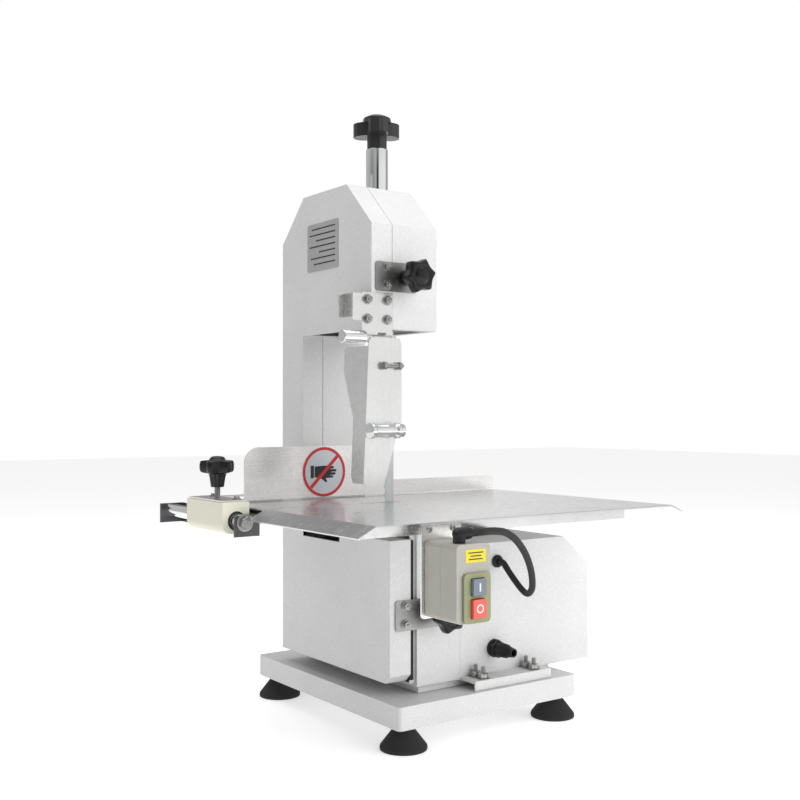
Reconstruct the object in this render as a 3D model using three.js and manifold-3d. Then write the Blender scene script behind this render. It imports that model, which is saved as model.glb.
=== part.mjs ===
// Table-top bone saw: a band saw for meat and bone with a sheet-metal frame, a sliding fence,
// a swinging blade guard and a motor that drives the lower band wheel directly.
//
// Millimetres, +Z up. While it is being laid out, x = 0 is the outer face of the two doors (the
// operator stands on the -X side), y = 0 is the near wall of the upper housing and z = 0 is the
// surface that the saw stands on. The finished group is then moved so that its origin is the
// middle of its footprint.

import * as THREE from 'three';
import { mergeVertices } from 'three/addons/utils/BufferGeometryUtils.js';
import Module from 'manifold-3d';

const wasm = await Module();
wasm.setup();

// ---------------------------------------------------------------- driving dimensions
const touch = 0.3;                  // clearance between two pieces that meet
const sheet = 2;                    // sheet metal of the casings and doors
const round = 28;                   // sides of a large round piece
const roundSmall = 14;              // sides of a small round piece

const footHeight = 31;
const footRadius = 31;
const footTopRadius = 15;
const footInset = 24;               // foot axis from both tray edges

const trayLeft = -12;
const trayNear = -81;
const trayLength = 310;             // along X
const trayBehind = 53;              // tray behind the housing
const trayHeight = 30;
const trayCorner = 6;
const cornerPlate = 52;             // welded corner plates that carry the feet

const riserHeight = 8.5;
const riserInset = 6;

const bodyNear = -43;               // lower housing, motor cover and lower door
const wheelHousingRoom = 38;        // height of the lower housing beyond the wheel's diameter
const housingBehindWheel = 61.4;    // lower housing's back wall behind the wheel's rim
const housingSetBack = 10;          // lower housing's front behind the door's edge
const sealLip = 8;                  // inner lip that reaches towards the door
const sealLipInset = 5;
const motorCoverLength = 244;
const motorTopRoom = 11.1;          // from the motor to the cover's top
const motorChamferX = 50;
const motorChamferZ = 42;
const footFlangeDepth = 31;         // bolted flange in front of the motor cover
const footFlangeHeight = 4;
const footFlangeLength = 138;

const doorDepth = 34;
const lowerDoorRise = 9.9;          // door's lower edge above the housing's
const lowerDoorDrop = 31.1;         // door's upper edge below the housing's
const doorChamfer = 10;
const ventLength = 100;
const ventHeight = 9;
const ventInset = 123;              // from the near edge of the door
const ventDrop = 4;

const cutHeight = 235;              // from the table to the upper housing
const throatDepth = 155.2;          // from the blade to the column
const upperWheelRoom = 7;           // over and under the upper wheel
const upperChamfer = 62;
const casingBehindWheel = 55.4;     // casing's back wall behind the wheel's rim

const wheelDiameter = 190;
const wheelWidth = 18;
const wheelDoorGap = 2.6;           // from the door's edge to the wheel's rim
const wheelSideRoom = 25.5;         // from the upper housing's side wall to the wheel
const lowerWheelRoom = 10.9;        // under the lower wheel
const bandWidth = 15.5;
const bandThickness = 0.8;
const shaftRadius = 9;
const hubRadius = 20;
const bearingFit = 0.4;
const motorRadius = 66;
const motorLength = 150;
const fanRadius = 52;

const tableRise = 12.9;             // table surface above the lower housing
const tableThickness = 2.5;
const tableLeft = -148;
const tableRight = 327;
const tableNear = -231;
const tableBehindFence = 28;
const tableColumnGap = 22;
const lipReach = 24;
const lipDrop = 12;
const rightLipReach = 21;
const rightLipDrop = 9;
const skirtDrop = 13;
const skirtRight = 236;
const kerfWidth = 7;
const kerfPastBlade = 10;

const railOut = 24;                 // rail axis beside the table
const railDrop = 16;                // rail axis below the table surface
const railRadius = 9;
const railPastBlade = 5.2;          // rail bracket behind the blade's line
const railNearRun = 22;             // rail in front of the block
const railFarRun = 105;             // rail behind the block
const bracketBelow = 18;            // rail bracket under the rail's axis
const bracketAbove = 9;
const bracketSheet = 3;
const blockLength = 108;
const blockWidth = 38;
const blockHeight = 40;
const blockRound = 12;
const blockBelow = 16;              // block under the rail's axis
const slideFit = 0.4;

const fenceOnBlock = 78;            // fence face from the block's near end
const clampOnBlock = 56;            // clamp axis from the block's near end
const fenceThickness = 2;
const fenceLeft = -121;
const fenceRight = 323;
const fenceTall = 75;               // above the table surface
const fenceLow = 23;
const fenceTallRight = 56;
const fenceCurve = 34;
const fenceCorner = 23;
const fenceEndRound = 8;
const fenceFoot = 12;               // stiffening foot behind the fence
const fenceGap = 2.4;               // fence edge above the table

const clampStudHeight = 14;
const clampRadius = 24.5;

const tensionInset = 19;            // tension axis in front of the casing's back
const tubeRadius = 16;
const tubeBore = 9;
const tubeHeight = 71;
const knobSpan = 75;
const knobHubRadius = 14.5;
const screwRadius = 6;
const sliderHalfWidth = 26;
const sliderHalfHeight = 28;
const guideHalfHeight = 46;

const latchStickOut = 45;
const latchRadius = 24;
const latchPlateHeight = 40;
const latchSheet = 2;
const upperLatchStud = 21;          // stud behind the upper door's edge
const upperLatchRise = 71;          // above the upper housing's bottom
const upperPlateReach = 40;         // keeper plate past the upper door's edge
const upperPlateStart = 6;
const lowerLatchStud = 29;          // stud behind the lower housing's front
const lowerLatchRise = 88;          // above the lower door's bottom
const lowerPlateReach = 48;         // keeper plate past the lower housing's front
const lowerPlateStart = 8;
const hingeBelowHousing = 116;      // upper hinge, from the upper housing's bottom
const hingeFromTop = 90;
const lowerHingeInset = 20;
const lowerHingeDrop = 17;
const hingeReach = 30;              // hinge leaf on the frame

const guardPinY = -8.5;
const guardPinDrop = 13;            // pin below the upper housing
const guardPinRadius = 2.2;
const knuckleRadius = 4.2;
const knuckleFit = 0.4;
const guardFace = 13.2;             // guard plate behind its face, from the housing wall
const guardSheet = 1.6;
const guardClear = 25;              // guard above the table surface
const handleRise = 74;              // handle above the guard's lower end
const handleRadius = 10.5;
const handleLeft = -20;
const handleLength = 53;

const switchLeft = -86;
const switchWidth = 47;
const switchDrop = 19;              // box below the table surface
const switchHeight = 85;
const switchBaseDepth = 28;
const switchLidDepth = 28.5;
const switchWall = 2.4;
const switchRound = 6;
const buttonWidth = 18;
const onHeight = 18;
const offHeight = 20;
const buttonFit = 0.5;
const buttonProud = 4.5;

const cordRadius = 4.25;
const grommetLength = 6;
const grommetRadius = 8.8;
const cordPortInset = 65.3;         // from the motor cover's edge
const cordPortDrop = 26.3;          // from the motor cover's top
const powerPortInset = 59.7;
const powerPortRise = 36.9;         // from the motor cover's bottom

// ---------------------------------------------------------------- sizes that follow
const wheelRadius = wheelDiameter / 2;
const wheelMiddleX = doorDepth + wheelDoorGap + wheelWidth / 2;
const wheelMiddleY = wheelRadius + wheelSideRoom;
const wheelFront = wheelMiddleX - wheelWidth / 2;
const wheelBack = wheelMiddleX + wheelWidth / 2;
const bandInner = wheelRadius + touch;
const bandOuter = bandInner + bandThickness;
const bandFront = wheelMiddleX - bandWidth / 2;
const bandBack = wheelMiddleX + bandWidth / 2;
const bladeY = wheelMiddleY - bandInner - bandThickness / 2;
const returnY = wheelMiddleY + bandInner + bandThickness / 2;

const upperDepth = 2 * wheelMiddleY;
const bodyFar = upperDepth - 1;
const trayDepth = bodyFar + trayBehind - trayNear;
const trayTop = footHeight + trayHeight;
const bodyBottom = trayTop + riserHeight + 2 * touch;
const lowerHousingFront = doorDepth + housingSetBack;
const lowerHousingBack = wheelBack + housingBehindWheel;
const lowerHousingTop = bodyBottom + wheelDiameter + wheelHousingRoom;
const lowerWheelZ = bodyBottom + wheelRadius + lowerWheelRoom;
const motorCoverLeft = lowerHousingBack + touch;
const motorCoverTop = lowerWheelZ + motorRadius + motorTopRoom;
const footFlangeLeft = lowerHousingBack + 2;
const lowerDoorBottom = bodyBottom + lowerDoorRise;
const lowerDoorTop = lowerHousingTop - lowerDoorDrop;

const tableTop = lowerHousingTop + tableRise;
const tableUnder = tableTop - tableThickness;
const columnBottom = lowerHousingTop + touch;
const columnNear = bladeY + throatDepth;
const upperBottom = tableTop + cutHeight;
const upperTop = upperBottom + wheelDiameter + 2 * upperWheelRoom;
const upperWheelZ = upperBottom + wheelRadius + upperWheelRoom;
const casingBack = wheelBack + casingBehindWheel;
const tensionX = casingBack - tensionInset;

const railX = tableLeft - railOut;
const railZ = tableTop - railDrop;
const railNear = bladeY + railPastBlade;
const blockNear = railNear + railNearRun;
const railFar = blockNear + blockLength + railFarRun;
const fenceY = blockNear + fenceOnBlock;
const fenceTallTop = tableTop + fenceTall;
const fenceLowTop = tableTop + fenceLow;
const clampY = blockNear + clampOnBlock;
const tableFar = Math.min(fenceY + tableBehindFence, columnNear - tableColumnGap);

const upperLatchX = doorDepth + upperLatchStud;
const upperLatchZ = upperBottom + upperLatchRise;
const lowerLatchX = lowerHousingFront + lowerLatchStud;
const lowerLatchZ = lowerDoorBottom + lowerLatchRise;
const guardPinZ = upperBottom - guardPinDrop;
const guardBottom = tableTop + guardClear;
const handleZ = guardBottom + handleRise;
const guardOuter = -guardFace - guardSheet;
const switchPlateY = tableNear - touch - sheet;
const switchBaseFront = switchPlateY - touch - switchBaseDepth;
const switchLidFront = switchBaseFront - touch - switchLidDepth;
const switchMiddleX = switchLeft + switchWidth / 2 + 3;
const switchBottom = tableTop - switchDrop - switchHeight;
const cordPort = new THREE.Vector3(motorCoverLeft + cordPortInset, 0, motorCoverTop - cordPortDrop);
const powerPort = new THREE.Vector3(motorCoverLeft + powerPortInset, 0, bodyBottom + powerPortRise);

// ---------------------------------------------------------------- finishes
const finish = (color, roughness, metalness) => new THREE.MeshStandardMaterial({
  color, roughness, metalness,
});
const paint = () => finish(0xc9cac8, 0.5, 0.15);
const stainless = () => finish(0xd8d8d6, 0.22, 1);
const chrome = () => finish(0xe6e6e6, 0.08, 1);
const steel = () => finish(0x9a9c9e, 0.4, 1);
const castMetal = () => finish(0x8d9092, 0.6, 0.8);
const blackPlastic = () => finish(0x141414, 0.3, 0);
const rubber = () => finish(0x101010, 0.8, 0);
const nylon = () => finish(0xd9d8bd, 0.45, 0);
const greyPlastic = () => finish(0xa7a59c, 0.45, 0);

// ---------------------------------------------------------------- shape helpers
const saw = new THREE.Group();

/** Adds a named piece, made in its own place, to the saw. */
function add(name, geometry, material) {
  geometry.computeVertexNormals();
  const mesh = new THREE.Mesh(geometry, material);
  mesh.name = name;
  saw.add(mesh);
  return mesh;
}

/** A closed geometry as a solid, with its faces turned outwards. */
function solid(geometry) {
  const bare = geometry.clone();
  bare.deleteAttribute('normal');
  bare.deleteAttribute('uv');
  const whole = mergeVertices(bare, 1e-4);
  const points = whole.attributes.position.array;
  const corners = Array.from(whole.index.array);
  const a = new THREE.Vector3();
  const b = new THREE.Vector3();
  const c = new THREE.Vector3();
  let volume = 0;
  const kept = [];
  for (let i = 0; i < corners.length; i += 3) {
    const [p, q, r] = corners.slice(i, i + 3);
    if (p === q || q === r || r === p) continue;
    a.fromArray(points, 3 * p);
    b.fromArray(points, 3 * q);
    c.fromArray(points, 3 * r);
    volume += a.dot(b.cross(c));
    kept.push(p, q, r);
  }
  const turned = volume < 0 ? kept.reverse() : kept;
  return new wasm.Manifold(new wasm.Mesh({
    numProp: 3,
    vertProperties: Float32Array.from(points),
    triVerts: Uint32Array.from(turned),
  }));
}

/** A solid as a geometry that a mesh can use. */
function shown(body) {
  const mesh = body.getMesh();
  const geometry = new THREE.BufferGeometry();
  geometry.setAttribute('position', new THREE.BufferAttribute(mesh.vertProperties, 3));
  geometry.setIndex(new THREE.BufferAttribute(mesh.triVerts, 1));
  return geometry;
}

const join = (...bodies) => bodies.reduce((sum, body) => sum.add(body));
const cut = (body, ...tools) => tools.reduce((rest, tool) => rest.subtract(tool), body);

/** A block between two corners. */
function block(x0, x1, y0, y1, z0, z1) {
  const geometry = new THREE.BoxGeometry(x1 - x0, y1 - y0, z1 - z0);
  geometry.translate((x0 + x1) / 2, (y0 + y1) / 2, (z0 + z1) / 2);
  return solid(geometry);
}

const turns = {
  x: new THREE.Matrix4().makeBasis(
    new THREE.Vector3(0, 1, 0), new THREE.Vector3(0, 0, 1), new THREE.Vector3(1, 0, 0)),
  y: new THREE.Matrix4().makeBasis(
    new THREE.Vector3(1, 0, 0), new THREE.Vector3(0, 0, 1), new THREE.Vector3(0, -1, 0)),
  z: new THREE.Matrix4(),
};

/** An outline pushed along an axis from one place to another. */
function prism(axis, outline, from, to, curveSegments = 3) {
  const geometry = new THREE.ExtrudeGeometry(outline, {
    depth: to - from, bevelEnabled: false, curveSegments,
  });
  if (axis === 'y') geometry.translate(0, 0, -(to - from));
  geometry.applyMatrix4(turns[axis]);
  const shift = { x: [from, 0, 0], y: [0, from, 0], z: [0, 0, from] }[axis];
  geometry.translate(...shift);
  return solid(geometry);
}

/** An outline through straight points. */
const polygon = (points) => new THREE.Shape(points.map(([u, v]) => new THREE.Vector2(u, v)));

/** A rectangle with rounded corners. */
function roundedRectangle(u0, v0, u1, v1, r) {
  const shape = new THREE.Shape();
  shape.moveTo(u0 + r, v0);
  shape.lineTo(u1 - r, v0);
  shape.absarc(u1 - r, v0 + r, r, -Math.PI / 2, 0, false);
  shape.lineTo(u1, v1 - r);
  shape.absarc(u1 - r, v1 - r, r, 0, Math.PI / 2, false);
  shape.lineTo(u0 + r, v1);
  shape.absarc(u0 + r, v1 - r, r, Math.PI / 2, Math.PI, false);
  shape.lineTo(u0, v0 + r);
  shape.absarc(u0 + r, v0 + r, r, Math.PI, Math.PI * 1.5, false);
  return shape;
}

/** A turned piece: its profile is a list of [radius, place along the axis]. */
function turned(axis, profile, at, sides = round) {
  const outline = profile.map(([r, w]) => new THREE.Vector2(r, w));
  const geometry = new THREE.LatheGeometry(outline, sides);
  if (axis === 'z') geometry.rotateX(Math.PI / 2);
  if (axis === 'x') geometry.rotateZ(-Math.PI / 2);
  geometry.translate(...at);
  return solid(geometry);
}

/** A plain round bar along an axis; the point is on its axis. */
function rod(axis, radius, from, to, at, sides = roundSmall) {
  return turned(axis, [[0, from], [radius, from], [radius, to], [0, to]], at, sides);
}

/** A round ring with a bore. */
function ring(axis, outer, inner, from, to, at, sides = roundSmall) {
  return turned(axis, [[inner, from], [outer, from], [outer, to], [inner, to], [inner, from]], at, sides);
}

/** A star-shaped grip outline with soft lobes, centred on zero. */
function starOutline(lobes, outer, inner, steps) {
  const points = [];
  for (let i = 0; i < steps; i += 1) {
    const angle = (i / steps) * 2 * Math.PI;
    const wave = 0.5 + 0.5 * Math.cos(lobes * angle);
    const r = inner + (outer - inner) * wave ** 0.7;
    points.push([r * Math.cos(angle), r * Math.sin(angle)]);
  }
  return polygon(points);
}

// ---------------------------------------------------------------- base
{
  const right = trayLeft + trayLength;
  const far = trayNear + trayDepth;
  const outer = prism('z', roundedRectangle(trayLeft, trayNear, right, far, trayCorner), footHeight, trayTop);
  const inner = prism('z', roundedRectangle(trayLeft + sheet, trayNear + sheet, right - sheet, far - sheet,
    trayCorner - sheet), footHeight - 1, trayTop - sheet);
  const plates = [];
  const feet = [];
  for (const [side, x, dirX] of [['left', trayLeft, 1], ['right', right, -1]]) {
    for (const [end, y, dirY] of [['near', trayNear, 1], ['far', far, -1]]) {
      const corner = [x + dirX * sheet / 2, y + dirY * sheet / 2];
      const u = corner[0] + dirX * cornerPlate;
      const v = corner[1] + dirY * cornerPlate;
      plates.push(block(Math.min(corner[0] + dirX * 3, u), Math.max(corner[0] + dirX * 3, u),
        Math.min(corner[1], v), Math.max(corner[1], v), footHeight, footHeight + sheet));
      feet.push([`foot_${end}_${side}`, x + dirX * footInset, y + dirY * footInset]);
    }
  }
  add('base_tray', shown(join(cut(outer, inner), ...plates)), paint());
  const top = footHeight - touch;
  for (const [name, x, y] of feet) {
    const profile = [
      [0, 3], [footRadius - 8, 3], [footRadius - 5, 0], [footRadius, 0], [footRadius, 5], [footRadius - 3, 8],
      [footTopRadius + 6, 11], [footTopRadius, 18], [footTopRadius, top], [0, top],
    ];
    add(name, shown(turned('z', profile, [x, y, 0], 20)), rubber());
  }
  const riser = block(lowerHousingFront + riserInset, right - 2 * riserInset, bodyNear + riserInset,
    bodyFar - riserInset, trayTop + touch, trayTop + touch + riserHeight);
  add('base_riser', shown(riser), paint());
}

// ---------------------------------------------------------------- lower housing, motor and drive
{
  const rectangle = (grow) => roundedRectangle(bodyNear - grow, bodyBottom - grow, bodyFar + grow,
    lowerHousingTop + grow, 3);
  const shell = cut(
    prism('x', rectangle(0), lowerHousingFront, lowerHousingBack),
    prism('x', rectangle(-sheet), lowerHousingFront - 1, lowerHousingBack - sheet),
  );
  const lipOuter = -sealLipInset;
  const lip = cut(
    prism('x', rectangle(0), lowerHousingFront, lowerHousingFront + sheet),
    prism('x', rectangle(lipOuter - sheet), lowerHousingFront - 1, lowerHousingFront + sheet + 1),
  );
  const reach = cut(
    prism('x', rectangle(lipOuter), lowerHousingFront - sealLip, lowerHousingFront + 1),
    prism('x', rectangle(lipOuter - sheet), lowerHousingFront - sealLip - 1, lowerHousingFront + 2),
  );
  const bandSlot = (y) => block(lowerHousingFront - sealLip - 1, bandBack + 5, y - 4, y + 4,
    lowerHousingTop - 12, lowerHousingTop + 1);
  const shaftHole = rod('x', shaftRadius + 4, lowerHousingBack - 6, lowerHousingBack + 1,
    [0, wheelMiddleY, lowerWheelZ]);
  const columnHole = block(lowerHousingFront + 16, lowerHousingBack - 12, columnNear + 8, upperDepth - 13,
    lowerHousingTop - 4, lowerHousingTop + 1);
  add('lower_housing', shown(cut(join(shell, lip, reach), bandSlot(bladeY), bandSlot(returnY), shaftHole,
    columnHole)), paint());

  const right = motorCoverLeft + motorCoverLength;
  const coverOutline = (grow) => polygon([
    [motorCoverLeft - (grow < 0 ? 1 : 0), bodyBottom - grow],
    [right + grow, bodyBottom - grow],
    [right + grow, motorCoverTop - motorChamferZ + grow * 0.4],
    [right - motorChamferX + grow * 0.4, motorCoverTop + grow],
    [motorCoverLeft - (grow < 0 ? 1 : 0), motorCoverTop + grow],
  ]);
  const cover = cut(
    prism('y', coverOutline(0), bodyNear, bodyFar - 8),
    prism('y', coverOutline(-sheet), bodyNear + sheet, bodyFar - 8 - sheet),
    rod('y', cordRadius + 1, bodyNear - 1, bodyNear + sheet + 1, [cordPort.x, 0, cordPort.z]),
    rod('y', 7, bodyNear - 1, bodyNear + sheet + 1, [powerPort.x, 0, powerPort.z]),
  );
  const flangeRight = footFlangeLeft + footFlangeLength;
  const flangeNear = bodyNear - footFlangeDepth;
  const flange = block(footFlangeLeft, flangeRight, flangeNear, bodyNear + 1, bodyBottom,
    bodyBottom + footFlangeHeight);
  const flangeWeb = block(footFlangeLeft, flangeRight, flangeNear, flangeNear + 3, trayTop + touch,
    bodyBottom + 1);
  add('motor_cover', shown(join(cover, flange, flangeWeb)), paint());

  const motorFront = lowerHousingBack + touch;
  const motorEnd = motorFront + motorLength;
  const bore = shaftRadius + bearingFit;
  const motorProfile = [
    [bore, motorFront], [hubRadius + 4, motorFront], [hubRadius + 8, motorFront + 8],
    [motorRadius - 6, motorFront + 12],
    [motorRadius, motorFront + 20], [motorRadius, motorEnd - 18], [motorRadius - 8, motorEnd],
    [bore, motorEnd], [bore, motorFront],
  ];
  add('motor_body', shown(turned('x', motorProfile, [0, wheelMiddleY, lowerWheelZ])), castMetal());
  const shaftStart = wheelFront - 1;
  const shaft = rod('x', shaftRadius, shaftStart, motorEnd + 22, [0, wheelMiddleY, lowerWheelZ]);
  add('motor_shaft', shown(shaft), steel());
  const fanHub = ring('x', 18, shaftRadius + touch, motorEnd + 3, motorEnd + 19,
    [0, wheelMiddleY, lowerWheelZ]);
  const fanDisc = ring('x', fanRadius, 17, motorEnd + 3, motorEnd + 5, [0, wheelMiddleY, lowerWheelZ], round);
  const fanBlades = [];
  for (let i = 0; i < 8; i += 1) {
    const blade = new THREE.BoxGeometry(14, 2, fanRadius - 20);
    blade.translate(motorEnd + 11, 0, 17 + (fanRadius - 20) / 2);
    blade.rotateX((i / 8) * 2 * Math.PI);
    blade.translate(0, wheelMiddleY, lowerWheelZ);
    fanBlades.push(solid(blade));
  }
  add('motor_fan', shown(join(fanHub, fanDisc, ...fanBlades)), blackPlastic());

  const trayFloor = bodyBottom + sheet + touch;
  const residue = cut(
    block(lowerHousingFront + 3, lowerHousingBack - sheet - 3, bodyNear + 12, bodyFar - 12, trayFloor,
      trayFloor + 5.5),
    block(lowerHousingFront + 4.2, lowerHousingBack - sheet - 4.2, bodyNear + 13.2, bodyFar - 13.2,
      trayFloor + 1.2, trayFloor + 7),
  );
  add('residue_tray', shown(residue), stainless());
}

// ---------------------------------------------------------------- band wheels and blade
/** A band wheel: flat rim, thin web with six round openings, hub with a bore. */
function bandWheel(z) {
  const bore = shaftRadius + bearingFit;
  const at = [0, wheelMiddleY, z];
  const rim = ring('x', wheelRadius, wheelRadius - 9, wheelFront, wheelBack, at, 48);
  const hub = ring('x', hubRadius, bore, wheelFront, wheelBack, at, round);
  const web = ring('x', wheelRadius - 8, hubRadius - 1, wheelMiddleX - 3, wheelMiddleX + 3, at, 24);
  const openings = [];
  for (let i = 0; i < 6; i += 1) {
    const angle = (i / 6) * 2 * Math.PI;
    const y = wheelMiddleY + Math.cos(angle) * (wheelRadius + hubRadius - 9) / 2;
    const h = z + Math.sin(angle) * (wheelRadius + hubRadius - 9) / 2;
    openings.push(rod('x', 20, wheelFront, wheelBack, [0, y, h]));
  }
  return shown(join(rim, hub, cut(web, ...openings)));
}
add('lower_wheel', bandWheel(lowerWheelZ), castMetal());
add('upper_wheel', bandWheel(upperWheelZ), castMetal());

/** The closed band outline in the wheels' plane. */
function bandOutline(radius) {
  const shape = new THREE.Shape();
  shape.moveTo(wheelMiddleY + radius, lowerWheelZ);
  shape.lineTo(wheelMiddleY + radius, upperWheelZ);
  shape.absarc(wheelMiddleY, upperWheelZ, radius, 0, Math.PI, false);
  shape.lineTo(wheelMiddleY - radius, lowerWheelZ);
  shape.absarc(wheelMiddleY, lowerWheelZ, radius, Math.PI, 2 * Math.PI, false);
  return shape;
}
{
  const band = cut(
    prism('x', bandOutline(bandOuter), bandFront, bandBack, 24),
    prism('x', bandOutline(bandInner), bandFront - 1, bandBack + 1, 24),
  );
  add('saw_blade', shown(band), stainless());
}

// ---------------------------------------------------------------- upper casing and its door
/** Outline of the upper housing with its column, seen along X, drawn in by a wall. */
function frameOutline(inset) {
  const c = upperChamfer + inset * 0.4;
  const foot = columnBottom - (inset > 0 ? 1 : 0);
  return polygon([
    [inset, upperBottom + inset],
    [columnNear + inset, upperBottom + inset],
    [columnNear + inset, foot],
    [upperDepth - inset, foot],
    [upperDepth - inset, upperTop - c],
    [upperDepth - c, upperTop - inset],
    [c, upperTop - inset],
    [inset, upperTop - c],
  ]);
}
{
  const latchHole = rod('y', 5, -1, sheet + 1, [upperLatchX, 0, upperLatchZ]);
  const mouth = block(doorDepth, casingBack - 8, 12, columnNear - 10, upperBottom - 1,
    upperBottom + sheet + 1);
  const screwHole = rod('z', screwRadius + 1, upperTop - 4, upperTop + 1, [tensionX, wheelMiddleY, 0]);
  const casing = cut(
    prism('x', frameOutline(0), doorDepth + touch, casingBack),
    prism('x', frameOutline(sheet), doorDepth - 1, casingBack - sheet),
    latchHole, mouth, screwHole,
  );
  add('frame_casing', shown(casing), paint());

  const upperDoor = cut(
    prism('x', frameOutline(0), 0, doorDepth),
    prism('x', frameOutline(sheet), sheet, doorDepth + 1),
    block(sheet, doorDepth + 1, 12, columnNear - 10, upperBottom - 1, upperBottom + sheet + 1),
  );
  add('upper_door', shown(upperDoor), paint());

  const far = bodyFar;
  const doorOutline = (inset) => polygon([
    [bodyNear + inset, lowerDoorBottom + doorChamfer + inset * 0.4],
    [bodyNear + doorChamfer + inset * 0.4, lowerDoorBottom + inset],
    [far - inset, lowerDoorBottom + inset],
    [far - inset, lowerDoorTop - inset],
    [bodyNear + inset, lowerDoorTop - inset],
  ]);
  const ventNear = bodyNear + ventInset;
  const ventTop = lowerDoorTop - ventDrop;
  const vent = block(-1, sheet + 1, ventNear, ventNear + ventLength, ventTop - ventHeight, ventTop);
  const lowerDoor = cut(
    prism('x', doorOutline(0), 0, doorDepth),
    prism('x', doorOutline(sheet), sheet, doorDepth + 1),
    vent,
  );
  add('lower_door', shown(lowerDoor), paint());
}

// ---------------------------------------------------------------- door hinges
/** A long hinge on the far wall: a leaf on the door, a leaf on the housing and a pin. */
function doorHinge(prefix, wallY, z0, z1, axisX, frameReach) {
  const leafSheet = 1.6;
  const barrel = 4;
  const boreRadius = 2.4;
  const pinRadius = 2.1;
  const axisY = wallY + touch + barrel;
  const third = (z1 - z0) / 3;
  const bore = rod('z', boreRadius, z0 - 1, z1 + 1, [axisX, axisY, 0]);
  const knuckle = (a, b) => rod('z', barrel, a, b, [axisX, axisY, 0]);
  const plate = (x0, x1, a, b) => block(x0, x1, wallY + touch, wallY + touch + leafSheet, a, b);
  const doorLeaf = cut(join(
    plate(axisX - 26, axisX - barrel - 1, z0, z1),
    plate(axisX - barrel - 1.5, axisX, z0 + third + 0.6, z1 - third - 0.6),
    knuckle(z0 + third + 0.6, z1 - third - 0.6),
  ), bore);
  const lower = join(plate(axisX, axisX + barrel + 2, z0, z0 + third), knuckle(z0, z0 + third));
  const upper = join(plate(axisX, axisX + barrel + 2, z1 - third, z1), knuckle(z1 - third, z1));
  const frameLeaf = cut(join(plate(axisX + barrel + 1, axisX + frameReach, z0, z1), lower, upper), bore);
  const pin = join(
    rod('z', pinRadius, z0 - 3, z1 + touch, [axisX, axisY, 0]),
    rod('z', pinRadius + 1.4, z1 + touch, z1 + touch + 2.5, [axisX, axisY, 0]),
  );
  add(`${prefix}_hinge_door_leaf`, shown(doorLeaf), stainless());
  add(`${prefix}_hinge_frame_leaf`, shown(frameLeaf), stainless());
  add(`${prefix}_hinge_pin`, shown(pin), steel());
}
doorHinge('upper', upperDepth, upperBottom - hingeBelowHousing, upperTop - hingeFromTop, doorDepth,
  hingeReach);
doorHinge('lower', bodyFar, lowerDoorBottom + lowerHingeInset, lowerDoorTop - lowerHingeDrop, doorDepth,
  hingeReach);

// ---------------------------------------------------------------- door latches
/** A slotted keeper plate on the door and a star knob whose stud screws into the housing. */
function latch(prefix, wallY, plateLeft, plateRight, studX, studZ, threadDepth, swingRoom) {
  const slot = join(
    block(studX, plateRight + 1, wallY - 5, wallY + 1, studZ - 5.5, studZ + 5.5),
    rod('y', 5.5, wallY - 5, wallY + 1, [studX, 0, studZ]),
  );
  const outline = roundedRectangle(plateLeft, studZ - latchPlateHeight / 2, plateRight,
    studZ + latchPlateHeight / 2, 4);
  const keeper = cut(prism('y', outline, wallY - touch - latchSheet, wallY - touch), slot);
  add(`${prefix}_latch_plate`, shown(keeper), stainless());
  const star = starOutline(6, latchRadius, latchRadius - 6, 36);
  const front = wallY - latchStickOut;
  const seat = wallY - touch - latchSheet - swingRoom;
  const gripBack = front + 21;
  const grip = prism('y', star, front + 3, gripBack);
  const dome = rod('y', latchRadius - 8, front, front + 4, [0, 0, 0], 16);
  const neck = rod('y', 11, gripBack - 1, seat, [0, 0, 0], 16);
  const stud = rod('y', 4, seat - 1, wallY + threadDepth, [0, 0, 0], 16);
  const knob = join(grip, dome, neck, stud).translate([studX, 0, studZ]);
  add(`${prefix}_latch_knob`, shown(knob), blackPlastic());
}
latch('upper', 0, upperPlateStart, doorDepth + upperPlateReach, upperLatchX, upperLatchZ, 12, 4.6);
latch('lower', bodyNear, lowerPlateStart, lowerHousingFront + lowerPlateReach, lowerLatchX, lowerLatchZ,
  -touch, 7);

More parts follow.
